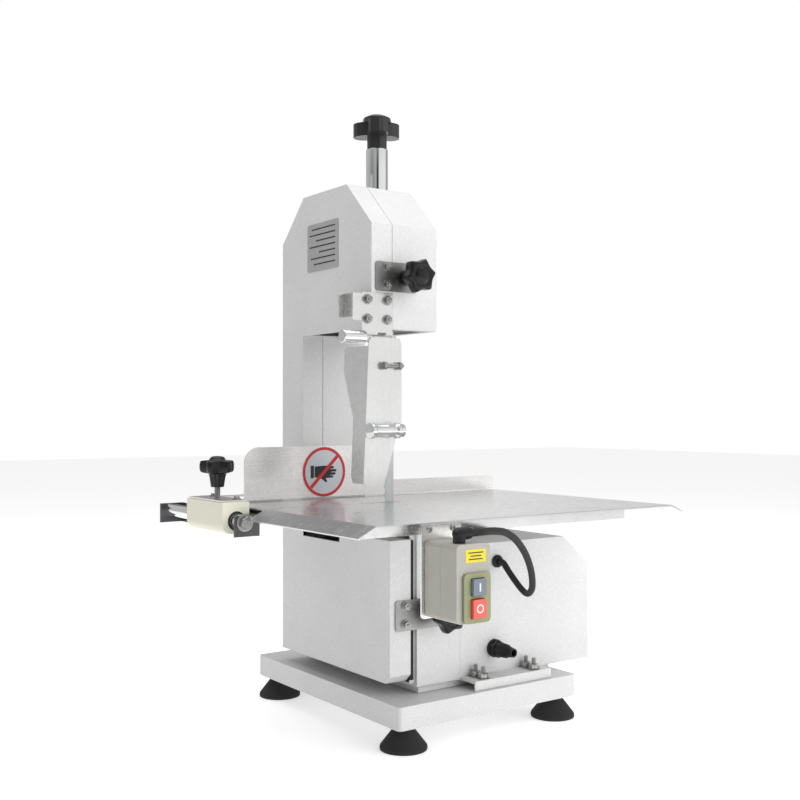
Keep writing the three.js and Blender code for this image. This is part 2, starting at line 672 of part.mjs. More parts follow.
// ---------------------------------------------------------------- blade tension
{
  const at = [tensionX, wheelMiddleY, 0];
  const tubeTop = upperTop + touch + tubeHeight;
  const tube = ring('z', tubeRadius, tubeBore, upperTop + touch, tubeTop, at, 24);
  add('tension_tube', shown(tube), chrome());

  const knobBottom = tubeTop + touch;
  const hub = turned('z', [[0, knobBottom], [knobHubRadius, knobBottom], [knobHubRadius, knobBottom + 26],
    [0, knobBottom + 26]], [0, 0, 0], 20);
  const lobes = prism('z', starOutline(3, knobSpan / 2, 15, 36), knobBottom + 20, knobBottom + 40);
  const cap = turned('z', [[0, knobBottom + 38], [22, knobBottom + 38], [20, knobBottom + 46],
    [12, knobBottom + 50], [0, knobBottom + 51]], [0, 0, 0], 20);
  add('tension_knob', shown(join(hub, lobes, cap).translate(at)), blackPlastic());

  const sliderTop = upperWheelZ + sliderHalfHeight;
  const slider = cut(
    block(wheelBack + 6, casingBack - sheet - 5, wheelMiddleY - sliderHalfWidth,
      wheelMiddleY + sliderHalfWidth, upperWheelZ - sliderHalfHeight, sliderTop),
    rod('z', screwRadius + bearingFit, upperWheelZ + 10, sliderTop + 1, at),
    rod('x', shaftRadius + touch, wheelBack + 5, wheelBack + 36, [0, wheelMiddleY, upperWheelZ]),
  );
  add('wheel_slider', shown(slider), castMetal());
  const shaft = join(
    rod('x', shaftRadius, wheelFront - 1, wheelBack + 35, [0, wheelMiddleY, upperWheelZ]),
    rod('x', shaftRadius + 4, wheelBack + 1, wheelBack + 5.5, [0, wheelMiddleY, upperWheelZ]),
  );
  add('upper_shaft', shown(shaft), steel());

  const screw = rod('z', screwRadius, upperWheelZ + 11, tubeTop, at);
  add('tension_screw', shown(screw), steel());

  const cheekMiddle = sliderHalfWidth + 4.5;
  const guideWall = block(casingBack - sheet - touch - 3, casingBack - sheet - touch,
    wheelMiddleY - cheekMiddle - 3.5, wheelMiddleY + cheekMiddle + 3.5,
    upperWheelZ - guideHalfHeight, upperWheelZ + guideHalfHeight);
  const cheek = (side) => block(wheelBack + 12, casingBack - sheet - touch - 1,
    wheelMiddleY + side * cheekMiddle - 3.5, wheelMiddleY + side * cheekMiddle + 3.5,
    upperWheelZ - guideHalfHeight, upperWheelZ + guideHalfHeight);
  add('slider_guide', shown(join(guideWall, cheek(-1), cheek(1))), steel());

  const coilRadius = screwRadius + 3.2;
  const wire = 1.3;
  const springBottom = sliderTop + touch + wire;
  const springTop = upperTop - sheet - touch - wire;
  const coil = [];
  const turnsOfWire = 6;
  for (let i = 0; i <= turnsOfWire * 10; i += 1) {
    const angle = (i / 10) * 2 * Math.PI;
    const h = springBottom + (springTop - springBottom) * (i / (turnsOfWire * 10));
    coil.push(new THREE.Vector3(coilRadius * Math.cos(angle), coilRadius * Math.sin(angle), h));
  }
  const springPath = new THREE.CatmullRomCurve3(coil);
  const wireOutline = polygon([0, 1, 2, 3, 4].map((i) => [
    wire * Math.cos(i * Math.PI / 2.5), wire * Math.sin(i * Math.PI / 2.5)]));
  const spring = new THREE.ExtrudeGeometry(wireOutline, {
    steps: turnsOfWire * 10, extrudePath: springPath, bevelEnabled: false,
  });
  spring.translate(...at);
  add('tension_spring', shown(solid(spring)), steel());
}

// ---------------------------------------------------------------- blade guides
/** A block with a narrow slot for the band, on an arm from the back wall. */
function bladeGuide(name, z0, z1, back) {
  const arm = block(bandFront - 3, back, bladeY - 11, bladeY + 11, z0, z1);
  const slot = block(bandFront - 4, bandBack + 1.5, bladeY - 1.2, bladeY + 1.2, z0 - 1, z1 + 1);
  add(name, shown(cut(arm, slot)), nylon());
}
bladeGuide('upper_blade_guide', upperBottom + sheet + 4, upperBottom + sheet + 22,
  casingBack - sheet - touch);
bladeGuide('lower_blade_guide', lowerHousingTop - 36, lowerHousingTop - 18, lowerHousingBack - sheet - touch);

// ---------------------------------------------------------------- blade guard
{
  const pinAt = [0, guardPinY, guardPinZ];
  const bore = guardPinRadius + knuckleFit;
  const plateFront = -touch - 2;
  const outline = polygon([
    [-31, 46], [-31, 14], [-28, 10], [-17, 10], [-15, -16], [-4, -19.5], [4, -18], [10, -5], [23, -5],
    [24, -16], [32, -16], [33, -5], [33, 48], [-16, 48], [-16, 46],
  ].map(([x, rise]) => [x, upperBottom + rise]));
  const plate = prism('y', outline, plateFront, -touch);
  const ear = (x0, x1) => join(
    rod('x', knuckleRadius, x0, x1, pinAt),
    block(x0, x1, guardPinY, plateFront + 0.5, guardPinZ - 3, guardPinZ + 3),
  );
  const flangeLow = upperBottom + 14;
  const flangeHigh = upperBottom + 46;
  const flangeBack = block(-31, -29, plateFront, 18, flangeLow, flangeHigh);
  const flangeSide = block(-41, -29, 16, 18, flangeLow, flangeHigh);
  const bracket = cut(join(plate, ear(-15, -5), ear(24, 32), flangeBack, flangeSide),
    rod('x', bore, -20, 40, pinAt));
  add('guard_bracket', shown(bracket), stainless());

  const face = polygon([
    [-14, guardPinZ - 7], [-22, guardBottom + 6], [-17, guardBottom], [4, guardBottom], [10, guardBottom + 3],
    [15, guardBottom + 16], [30, handleZ - 10], [36, handleZ - 5], [39, handleZ + 4], [39, guardPinZ - 7],
    [36, guardPinZ], [-10, guardPinZ],
  ]);
  const side = polygon([
    [guardOuter, guardBottom + 4], [12, guardBottom + 4], [16, guardBottom + 14], [17, handleZ + 17],
    [44, guardPinZ - 44], [44, guardPinZ - 15], [40, guardPinZ - 11], [guardOuter, guardPinZ - 11],
  ]);
  const lean = Math.atan2(8, guardPinZ - 13 - guardBottom);
  const sideGeometry = new THREE.ExtrudeGeometry(side, { depth: guardSheet, bevelEnabled: false });
  sideGeometry.applyMatrix4(turns.x);
  sideGeometry.translate(0, 0, -guardBottom);
  sideGeometry.rotateY(lean);
  sideGeometry.translate(-22, 0, guardBottom);
  const knuckle = join(
    rod('x', knuckleRadius, -4, 23, pinAt),
    block(-4, 23, -guardFace - 1, guardPinY, guardPinZ - knuckleRadius, guardPinZ),
  );
  const shield = cut(
    join(prism('y', face, guardOuter, -guardFace), solid(sideGeometry), knuckle),
    rod('x', bore, -20, 40, pinAt),
  );
  add('guard_shield', shown(shield), stainless());
  const pin = join(rod('x', guardPinRadius, -16, 34, pinAt));
  add('guard_pin', shown(pin), steel());
  const barrel = [[0, -52], [5, -52], [8, -48], [9, -44], [9, -26], [7.5, -25], [7.5, -17], [0, -17]];
  add('guard_barrel', shown(turned('x', barrel, pinAt, 18)), chrome());
  const r = handleRadius;
  const handle = [
    [0, 0], [r - 2, 0], [r, 2], [r, 5], [r - 2, 6], [r - 2, 0.42 * handleLength],
    [r - 1, 0.42 * handleLength + 1], [r - 1, handleLength - 13], [r, handleLength - 12],
    [r, handleLength - 8], [r - 1.5, handleLength - 7], [r - 1.5, handleLength - 3],
    [r - 3, handleLength], [0, handleLength],
  ].map(([radius, along]) => [radius, handleLeft + along]);
  add('guard_handle', shown(turned('x', handle, [0, guardOuter - touch - r, handleZ], 18)), chrome());
}

// ---------------------------------------------------------------- table
{
  const top = polygon([[tableLeft, tableNear], [tableRight, tableNear], [tableRight, tableFar],
    [tableLeft, tableFar]]);
  const leftLip = polygon([
    [tableLeft, tableTop], [tableLeft - lipReach, tableTop - lipDrop],
    [tableLeft - lipReach + 1, tableTop - lipDrop - tableThickness + 0.5],
    [tableLeft + 1, tableUnder],
  ]);
  const rightLip = polygon([
    [tableRight - 1, tableUnder],
    [tableRight + rightLipReach - 1, tableTop - rightLipDrop - tableThickness + 0.5],
    [tableRight + rightLipReach, tableTop - rightLipDrop], [tableRight, tableTop],
  ]);
  const skirt = block(tableLeft, skirtRight, tableNear, tableNear + tableThickness, tableTop - skirtDrop,
    tableTop - 0.5);
  const kerf = block(tableLeft - lipReach - 2, bandBack + kerfPastBlade, bladeY - kerfWidth / 2,
    bladeY + kerfWidth / 2, tableUnder - 30, tableTop + 1);
  const table = cut(join(
    prism('z', top, tableUnder, tableTop),
    prism('y', leftLip, tableNear, bladeY),
    prism('y', rightLip, tableNear, tableFar),
    skirt,
  ), kerf);
  add('table_top', shown(table), stainless());

  const top0 = tableUnder - touch;
  const bottom0 = lowerHousingTop + touch;
  const rail = (y0, y1) => block(lowerHousingFront + 2, skirtRight + 40, y0, y1, bottom0, top0);
  const tie = block(lowerHousingBack + 30, lowerHousingBack + 60, -34, 148, bottom0, top0);
  add('table_frame', shown(join(rail(-38, -8), rail(120, 150), tie)), paint());
}

// ---------------------------------------------------------------- rail, sliding block and fence
{
  const webX = railX + blockWidth / 2 + touch - 1;
  const webOutline = [webX, webX + bracketSheet];
  const bottom = railZ - bracketBelow;
  const top = railZ + bracketAbove;
  const flange = (y0) => block(railX - 14, webX + 1, y0, y0 + bracketSheet, bottom, top);
  const bracket = join(
    block(...webOutline, railNear, railFar, bottom, top),
    flange(railNear), flange(railFar - bracketSheet),
    block(webX, tableLeft + 60, railNear + 10, tableFar - 6, top - bracketSheet, top),
    block(tableLeft + 10, tableLeft + 60, railNear + 10, tableFar - 6, top - bracketSheet, tableUnder - touch),
  );
  add('rail_bracket', shown(bracket), steel());
  add('rail_rod', shown(rod('y', railRadius, railNear + bracketSheet + touch, railFar - bracketSheet - touch,
    [railX, 0, railZ], 20)), chrome());

  const left = railX - blockWidth / 2 - 1;
  const right = railX + blockWidth / 2 - 1;
  const blockBottom = railZ - blockBelow;
  const blockTop = blockBottom + blockHeight;
  const outline = new THREE.Shape();
  outline.moveTo(left, blockTop);
  outline.lineTo(left, blockBottom + blockRound);
  outline.absarc(left + blockRound, blockBottom + blockRound, blockRound, Math.PI, Math.PI * 1.5, false);
  outline.lineTo(right - 2, blockBottom);
  outline.lineTo(right, blockBottom + 2);
  outline.lineTo(right, blockTop);
  const slideBlock = cut(prism('y', outline, blockNear, blockNear + blockLength),
    rod('y', railRadius + slideFit, blockNear - 1, blockNear + blockLength + 1, [railX, 0, railZ], 20));
  add('slide_block', shown(slideBlock), nylon());

  const plateBottom = blockTop + touch;
  const plateTop = plateBottom + fenceThickness;
  const fenceBottom = tableTop + fenceGap;
  const shape = new THREE.Shape();
  shape.moveTo(fenceLeft, fenceBottom);
  shape.lineTo(fenceRight, fenceBottom);
  shape.lineTo(fenceRight, fenceLowTop - fenceEndRound);
  shape.absarc(fenceRight - fenceEndRound, fenceLowTop - fenceEndRound, fenceEndRound, 0, Math.PI / 2, false);
  shape.lineTo(fenceTallRight + fenceCurve, fenceLowTop);
  shape.quadraticCurveTo(fenceTallRight + 6, fenceLowTop, fenceTallRight, fenceLowTop + fenceCurve * 0.7);
  shape.lineTo(fenceTallRight, fenceTallTop);
  shape.lineTo(fenceLeft + fenceCorner, fenceTallTop);
  shape.absarc(fenceLeft + fenceCorner, fenceTallTop - fenceCorner, fenceCorner, Math.PI / 2, Math.PI, false);
  const fence = join(
    prism('y', shape, fenceY, fenceY + fenceThickness, 10),
    block(fenceLeft + 4, fenceRight, fenceY, fenceY + fenceFoot, fenceBottom, fenceBottom + fenceThickness),
    block(left + 2, right, blockNear + 6, blockNear + blockLength - 4, plateBottom, plateTop),
    block(right - 2, fenceLeft + 30, fenceY, fenceY + fenceFoot, plateBottom, plateTop),
  );
  add('fence_plate', shown(fence), stainless());

  const seat = plateTop + touch;
  const z0 = seat + clampStudHeight;
  const at = [railX, clampY, 0];
  const hub = turned('z', [[0, z0], [9, z0], [11, z0 + 20], [0, z0 + 20]], [0, 0, 0], 16);
  const star = prism('z', starOutline(5, clampRadius, 11, 30), z0 + 18, z0 + 35);
  const dome = turned('z', [[0, z0 + 34], [16, z0 + 34], [12, z0 + 39], [0, z0 + 41]], [0, 0, 0], 16);
  const stud = rod('z', 4, seat, z0 + 1, [0, 0, 0], 16);
  add('clamp_knob', shown(join(hub, star, dome, stud).translate(at)), blackPlastic());
}

// ---------------------------------------------------------------- switch box
{
  const right = switchLeft + switchWidth;
  const top = switchBottom + switchHeight;
  const plate = roundedRectangle(switchLeft - 4, switchBottom - 2, right + 5, tableTop - 2, 4);
  add('switch_bracket', shown(prism('y', plate, switchPlateY, switchPlateY + sheet)), stainless());

  const outline = (inset) => roundedRectangle(switchLeft + inset, switchBottom + inset, right - inset,
    top - inset, switchRound);
  const base = cut(
    prism('y', outline(0), switchBaseFront, switchPlateY - touch),
    prism('y', outline(switchWall), switchBaseFront - 1, switchPlateY - touch - switchWall),
  );
  add('switch_base', shown(base), greyPlastic());

  const offZ = switchBottom + 6;
  const onZ = offZ + offHeight + 4;
  const x0 = switchMiddleX - buttonWidth / 2;
  const windowCut = (z, height, y0, y1) => block(x0 - buttonFit, x0 + buttonWidth + buttonFit, y0, y1,
    z - buttonFit, z + height + buttonFit);
  const lid = cut(
    prism('y', outline(0), switchLidFront, switchBaseFront - touch),
    prism('y', outline(switchWall), switchLidFront + switchWall, switchBaseFront),
    windowCut(offZ, offHeight, switchLidFront - 1, switchLidFront + switchWall + 1),
    windowCut(onZ, onHeight, switchLidFront - 1, switchLidFront + switchWall + 1),
  );
  add('switch_lid', shown(lid), greyPlastic());

  const bezelFront = switchLidFront - touch - 3;
  const bezelOutline = roundedRectangle(switchMiddleX - 18.5, switchBottom, switchMiddleX + 18.5,
    switchBottom + 54, 5);
  const bezel = cut(
    prism('y', bezelOutline, bezelFront, switchLidFront - touch),
    windowCut(offZ, offHeight, bezelFront - 1, switchLidFront + 1),
    windowCut(onZ, onHeight, bezelFront - 1, switchLidFront + 1),
  );
  add('switch_bezel', shown(bezel), greyPlastic());
  const button = (z, height) => block(x0, x0 + buttonWidth, bezelFront - buttonProud, switchLidFront + 8, z,
    z + height);
  add('on_button', shown(button(onZ, onHeight)), finish(0x3f4a57, 0.4, 0));
  add('off_button', shown(button(offZ, offHeight)), finish(0xc92f26, 0.4, 0));
}

// ---------------------------------------------------------------- cord and its fittings
{
  const glandX = switchLeft + 14;
  const glandY = switchLidFront + 13;
  const glandZ = switchBottom + switchHeight + touch;
  const sleeveZ = glandZ + 10;
  const sleeveEnd = glandX + 15;
  const gland = join(
    rod('z', 7, glandZ, sleeveZ, [glandX, glandY, 0], 16),
    turned('x', [[0, glandX - 4], [5, glandX - 6], [7, glandX - 2], [7, sleeveEnd - 5], [6, sleeveEnd],
      [0, sleeveEnd]], [0, glandY, sleeveZ], 16),
  );
  add('switch_gland', shown(gland), rubber());

  const grommetFace = bodyNear - touch;
  const grommet = [[0, -grommetLength], [grommetRadius - 2.5, -grommetLength],
    [grommetRadius, 3 - grommetLength], [grommetRadius, 0], [0, 0]];
  add('cord_grommet', shown(turned('y', grommet, [cordPort.x, grommetFace, cordPort.z], 16)), rubber());

  const cordGap = 2 * touch;
  const grommetEnd = grommetFace - grommetLength - cordGap;
  const start = new THREE.Vector3(sleeveEnd + cordGap, glandY, sleeveZ);
  const end = new THREE.Vector3(cordPort.x, grommetEnd, cordPort.z);
  // share of the way across, then how far the cord hangs away from the straight line
  const hanging = [
    [0.18, 0.1, -32.0, 12.1],
    [0.298, 0.1, -45.5, 15.9],
    [0.433, -0.1, -58.6, 13.0],
    [0.583, -0.0, -69.0, 2.1],
    [0.717, 0.0, -74.0, -13.9],
    [0.823, -0.1, -71.9, -31.0],
    [0.896, -0.0, -60.6, -38.5],
    [0.945, -0.1, -45.2, -31.9],
    [0.972, 0.1, -24.0, -15.5],
    [0.981, 0.1, -31.0, -15.2],
  ].map(([share, x, y, z]) => start.clone().lerp(end, share).add(new THREE.Vector3(x, y, z)).toArray());
  const route = [
    [sleeveEnd + cordGap, glandY, sleeveZ], [sleeveEnd + cordGap + 9, glandY, sleeveZ],
    [sleeveEnd + cordGap + 18, glandY, sleeveZ], ...hanging, [cordPort.x, grommetEnd - 9, cordPort.z - 2],
    [cordPort.x, grommetEnd - 4, cordPort.z], [cordPort.x, grommetEnd, cordPort.z],
  ].map((point) => new THREE.Vector3(...point));
  const path = new THREE.CatmullRomCurve3(route);
  const section = polygon([0, 1, 2, 3, 4, 5, 6, 7].map((i) => [
    cordRadius * Math.cos(i * Math.PI / 4), cordRadius * Math.sin(i * Math.PI / 4)]));
  const cord = new THREE.ExtrudeGeometry(section, { steps: 34, extrudePath: path, bevelEnabled: false });
  add('switch_cord', shown(solid(cord)), rubber());

  const power = [
    [0, -42], [4, -42], [8, -38], [10.5, -33], [10.5, -22], [12.5, -21], [12.5, -9], [9, -8], [9, -4], [12.5, -4],
    [12.5, 0], [0, 0],
  ];
  add('power_gland', shown(turned('y', power, [powerPort.x, grommetFace, powerPort.z], 16)), rubber());
}

// ---------------------------------------------------------------- origin at the middle of the footprint
const bounds = new THREE.Box3();
for (const mesh of saw.children) {
  if (mesh.name !== 'switch_cord') bounds.expandByObject(mesh);
}
saw.position.set(-(bounds.min.x + bounds.max.x) / 2, -(bounds.min.y + bounds.max.y) / 2, -bounds.min.z);

export default saw;
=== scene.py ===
"""Looks of a table-top bone saw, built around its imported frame.

Lengths inside the classes are bench millimetres: x = 0 is the outer face of the doors, y = 0 is the
near wall of the upper housing and z = 0 is the surface that the saw stands on. Bench.at turns them
into the frame's metres.
"""
import logging
import math
from dataclasses import dataclass
from enum import Enum
from typing import Callable, Optional, Sequence

import bmesh
import bpy
from mathutils import Matrix, Vector


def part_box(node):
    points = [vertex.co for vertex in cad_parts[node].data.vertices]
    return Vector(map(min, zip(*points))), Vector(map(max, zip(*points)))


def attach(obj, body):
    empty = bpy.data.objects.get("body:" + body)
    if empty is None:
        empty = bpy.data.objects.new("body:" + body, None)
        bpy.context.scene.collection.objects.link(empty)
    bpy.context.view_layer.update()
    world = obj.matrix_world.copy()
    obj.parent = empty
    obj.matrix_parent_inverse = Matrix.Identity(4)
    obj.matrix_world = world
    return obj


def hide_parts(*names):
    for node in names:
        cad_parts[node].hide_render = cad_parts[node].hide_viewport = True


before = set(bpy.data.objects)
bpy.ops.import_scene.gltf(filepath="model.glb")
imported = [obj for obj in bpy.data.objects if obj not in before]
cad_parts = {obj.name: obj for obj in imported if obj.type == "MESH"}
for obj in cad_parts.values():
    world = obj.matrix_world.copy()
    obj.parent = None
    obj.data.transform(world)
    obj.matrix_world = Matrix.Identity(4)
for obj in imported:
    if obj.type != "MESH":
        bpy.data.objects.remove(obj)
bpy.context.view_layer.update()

LOG = logging.getLogger("bone_saw")
MM = 0.001
DUST_COLOUR = (0.55, 0.54, 0.52)
COAT_ROUGHNESS = 0.12
CLAMP_ON_BLOCK = 56.0
Point2 = tuple[float, float]
Colour = tuple[float, float, float]


class Axis(Enum):
    """The direction along which a piece is turned or pushed."""

    X = "x"
    Y = "y"
    Z = "z"

    def place(self, u: float, v: float, w: float) -> Vector:
        """Turns flat coordinates u, v and a depth w into bench axes.

        Args:
            u: First flat coordinate (y for X, x for Y and Z).
            v: Second flat coordinate (z for X and Y, y for Z).
            w: Place along the axis.

        Returns:
            The point in bench axes.
        """
        if self is Axis.X:
            return Vector((w, u, v))
        if self is Axis.Y:
            return Vector((u, w, v))
        return Vector((u, v, w))


class Bench:
    """The bench coordinates that the sub-assemblies are laid out in."""

    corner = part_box("upper_door")[0]

    @classmethod
    def at(cls, x: float, y: float, z: float) -> Vector:
        """Turns a bench point in millimetres into frame metres.

        Args:
            x: Distance behind the doors' outer face.
            y: Distance from the near wall of the upper housing.
            z: Height above the worktop.

        Returns:
            The point in the frame's metres.
        """
        return Vector((cls.corner.x + x * MM, cls.corner.y + y * MM, z * MM))

    @classmethod
    def box(cls, node: str) -> tuple[Vector, Vector]:
        """Gives a node's lowest and highest corners in bench millimetres.

        Args:
            node: Name of the CAD node.

        Returns:
            The two corners.
        """
        shift = Vector((cls.corner.x, cls.corner.y, 0.0))
        low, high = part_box(node)
        return (low - shift) / MM, (high - shift) / MM


# ------------------------------------------------------------------ shader building
class Graph:
    """A small hand for wiring nodes in one tree."""

    def __init__(self, tree: bpy.types.NodeTree) -> None:
        """Keeps the tree that is wired.

        Args:
            tree: The node tree to fill.
        """
        self.tree = tree

    def node(self, kind: str, **settings: object) -> bpy.types.Node:
        """Adds a node and sets its properties.

        Args:
            kind: Blender's name for the node type.
            **settings: Properties of the node.

        Returns:
            The new node.
        """
        made = self.tree.nodes.new(kind)
        for key, value in settings.items():
            setattr(made, key, value)
        return made

    def feed(self, socket: bpy.types.NodeSocket, source: object) -> None:
        """Links a socket, or sets it where the source is a plain value.

        Args:
            socket: The input to feed.
            source: An output socket or a value.
        """
        if isinstance(source, bpy.types.NodeSocket):
            self.tree.links.new(source, socket)
        else:
            socket.default_value = source

    def math(self, operation: str, first: object, second: object = 0.5, clamp: bool = False) -> object:
        """Adds a maths node.

        Args:
            operation: Name of the operation.
            first: First operand.
            second: Second operand.
            clamp: Whether the result is kept between 0 and 1.

        Returns:
            The result's socket.
        """
        made = self.node("ShaderNodeMath", operation=operation, use_clamp=clamp)
        self.feed(made.inputs[0], first)
        self.feed(made.inputs[1], second)
        return made.outputs[0]

    def spread(self, value: object, low: float, high: float, to_low: float, to_high: float) -> object:
        """Maps one range of a value to another, clamped.

        Args:
            value: The value's socket.
            low: Start of the source range.
            high: End of the source range.
            to_low: Start of the new range.
            to_high: End of the new range.

        Returns:
            The mapped value's socket.
        """
        made = self.node("ShaderNodeMapRange")
        for place, source in enumerate((value, low, high, to_low, to_high)):
            self.feed(made.inputs[place], source)
        return made.outputs[0]

    def blend(self, mask: object, first: object, second: object) -> object:
        """Mixes two colours by a mask.

        Args:
            mask: Share of the second colour.
            first: Colour where the mask is 0.
            second: Colour where the mask is 1.

        Returns:
            The mixed colour's socket.
        """
        made = self.node("ShaderNodeMix", data_type="RGBA")
        self.feed(made.inputs[0], mask)
        self.feed(made.inputs[6], first if not isinstance(first, tuple) else (*first, 1.0))
        self.feed(made.inputs[7], second if not isinstance(second, tuple) else (*second, 1.0))
        return made.outputs[2]

    def noise(self, vector: object, scale: object, detail: float = 3.0, rough: float = 0.5) -> object:
        """Adds a noise texture.

        Args:
            vector: Where the noise is read.
            scale: Its scale per metre.
            detail: Number of octaves.
            rough: Share of the finer octaves.

        Returns:
            The noise value's socket.
        """
        made = self.node("ShaderNodeTexNoise")
        self.feed(made.inputs["Vector"], vector)
        self.feed(made.inputs["Scale"], scale)
        made.inputs["Detail"].default_value = detail
        made.inputs["Roughness"].default_value = rough
        return made.outputs["Fac"]


def new_group(name: str, inputs: dict[str, object], outputs: Sequence[str]) -> tuple:
    """Starts a shader group with named sockets.

    Args:
        name: The group's name.
        inputs: Each input's name and its starting value, a number or a vector.
        outputs: Names of the value outputs.

    Returns:
        The group, its wiring hand, its input node and its output node.
    """
    group = bpy.data.node_groups.new(name, "ShaderNodeTree")
    for label, value in inputs.items():
        kind = "NodeSocketVector" if isinstance(value, tuple) else "NodeSocketFloat"
        socket = group.interface.new_socket(name=label, in_out="INPUT", socket_type=kind)
        socket.default_value = value
    for label in outputs:
        group.interface.new_socket(name=label, in_out="OUTPUT", socket_type="NodeSocketFloat")
    hand = Graph(group)
    return group, hand, hand.node("NodeGroupInput"), hand.node("NodeGroupOutput")


class Effects:
    """Surface effects that several finishes share, each built once as a shader group."""

    def __init__(self) -> None:
        """Builds every shared group."""
        self.edge_wear_and_highlight = self.build_edge_wear_and_highlight()
        self.speckle = self.build_speckle()
        self.brushing = self.build_brushing()
        self.handling = self.build_handling()
        self.dust = self.build_dust()
        self.grain = self.build_grain()

    @staticmethod
    def build_edge_wear_and_highlight() -> bpy.types.NodeTree:
        """Builds the mask of rubbed outer edges, broken up by noise; the lighter colour it lays on is
        partly wear and partly a painted edge highlight.

        Returns:
            The group, with inputs Radius, Breakup and Amount and output Mask.
        """
        group, hand, entry, leave = new_group(
            "edge_wear_and_highlight", {"Radius": 0.0012, "Breakup": 90.0, "Amount": 1.0}, ("Mask",))
        rounded = hand.node("ShaderNodeBevel", samples=4)
        hand.feed(rounded.inputs["Radius"], entry.outputs["Radius"])
        plain = hand.node("ShaderNodeNewGeometry")
        dot = hand.node("ShaderNodeVectorMath", operation="DOT_PRODUCT")
        hand.feed(dot.inputs[0], rounded.outputs[0])
        hand.feed(dot.inputs[1], plain.outputs["Normal"])
        edge = hand.spread(dot.outputs["Value"], 0.995, 0.86, 0.0, 1.0)
        coords = hand.node("ShaderNodeTexCoord")
        breakup = hand.noise(coords.outputs["Object"], entry.outputs["Breakup"], 5.0, 0.65)
        broken = hand.math("MULTIPLY", edge, hand.spread(breakup, 0.42, 0.62, 0.0, 1.0))
        hand.feed(leave.inputs["Mask"], hand.math("MULTIPLY", broken, entry.outputs["Amount"],
                                                  clamp=True))
        return group

    @staticmethod
    def build_speckle() -> bpy.types.NodeTree:
        """Builds the flecks and the fine orange-peel of textured paint.

        Returns:
            The group, with inputs Scale and Peel and outputs Dark, Light and Height.
        """
        group, hand, entry, leave = new_group(
            "speckle", {"Scale": 900.0, "Peel": 420.0}, ("Dark", "Light", "Height"))
        coords = hand.node("ShaderNodeTexCoord").outputs["Object"]
        fine = hand.noise(coords, entry.outputs["Scale"], 2.0, 0.7)
        coarse = hand.noise(coords, hand.math("MULTIPLY", entry.outputs["Scale"], 0.42), 2.0, 0.6)
        peel = hand.noise(coords, entry.outputs["Peel"], 2.0, 0.4)
        hand.feed(leave.inputs["Dark"], hand.spread(fine, 0.40, 0.30, 0.0, 1.0))
        hand.feed(leave.inputs["Light"], hand.spread(coarse, 0.56, 0.68, 0.0, 1.0))
        hand.feed(leave.inputs["Height"], hand.math("ADD", peel, hand.math("MULTIPLY", fine, 0.5)))
        return group

    @staticmethod
    def build_brushing() -> bpy.types.NodeTree:
        """Builds long fine scratches along one direction.

        Returns:
            The group, with input Stretch (lines per metre each way) and outputs Lines and Fine.
        """
        group, hand, entry, leave = new_group("brushing", {"Stretch": (12.0, 900.0, 900.0)},
                                              ("Lines", "Fine"))
        coords = hand.node("ShaderNodeTexCoord").outputs["Object"]
        scaled = hand.node("ShaderNodeVectorMath", operation="MULTIPLY")
        hand.feed(scaled.inputs[0], coords)
        hand.feed(scaled.inputs[1], entry.outputs["Stretch"])
        hand.feed(leave.inputs["Lines"], hand.noise(scaled.outputs[0], 1.0, 2.0, 0.6))
        hand.feed(leave.inputs["Fine"], hand.noise(scaled.outputs[0], 2.7, 3.0, 0.7))
        return group

    @staticmethod
    def build_handling() -> bpy.types.NodeTree:
        """Builds the wide cloudy marks that hands and cloths leave.

        Returns:
            The group, with input Scale and outputs Clouds and Streaks.
        """
        group, hand, entry, leave = new_group("handling", {"Scale": 14.0}, ("Clouds", "Streaks"))
        coords = hand.node("ShaderNodeTexCoord").outputs["Object"]
        clouds = hand.noise(coords, entry.outputs["Scale"], 4.0, 0.55)
        streaks = hand.noise(coords, hand.math("MULTIPLY", entry.outputs["Scale"], 6.0), 6.0, 0.6)
        hand.feed(leave.inputs["Clouds"], hand.spread(clouds, 0.32, 0.68, 0.0, 1.0))
        hand.feed(leave.inputs["Streaks"], hand.spread(streaks, 0.45, 0.7, 0.0, 1.0))
        return group

    @staticmethod
    def build_dust() -> bpy.types.NodeTree:
        """Builds the mask of dust that lies on faces turned upwards.

        Returns:
            The group, with inputs Scale and Amount and output Mask.
        """
        group, hand, entry, leave = new_group("dust", {"Scale": 60.0, "Amount": 0.4}, ("Mask",))
        normal = hand.node("ShaderNodeNewGeometry").outputs["Normal"]
        parts = hand.node("ShaderNodeSeparateXYZ")
        hand.feed(parts.inputs[0], normal)
        upward = hand.spread(parts.outputs["Z"], 0.35, 0.95, 0.0, 1.0)
        coords = hand.node("ShaderNodeTexCoord").outputs["Object"]
        patches = hand.spread(hand.noise(coords, entry.outputs["Scale"], 5.0, 0.6), 0.4, 0.75, 0.0, 1.0)
        mask = hand.math("MULTIPLY", hand.math("MULTIPLY", upward, patches), entry.outputs["Amount"],
                         clamp=True)
        hand.feed(leave.inputs["Mask"], mask)
        return group

    @staticmethod
    def build_grain() -> bpy.types.NodeTree:
        """Builds the fine leathery grain of a moulded surface.

        Returns:
            The group, with input Scale and output Height.
        """
        group, hand, entry, leave = new_group("grain", {"Scale": 1400.0}, ("Height",))
        coords = hand.node("ShaderNodeTexCoord").outputs["Object"]
        cells = hand.node("ShaderNodeTexVoronoi")
        hand.feed(cells.inputs["Vector"], coords)
        hand.feed(cells.inputs["Scale"], entry.outputs["Scale"])
        rough = hand.noise(coords, entry.outputs["Scale"], 3.0, 0.6)
        hand.feed(leave.inputs["Height"], hand.math("ADD", cells.outputs["Distance"], rough))
        return group


EFFECTS = Effects()


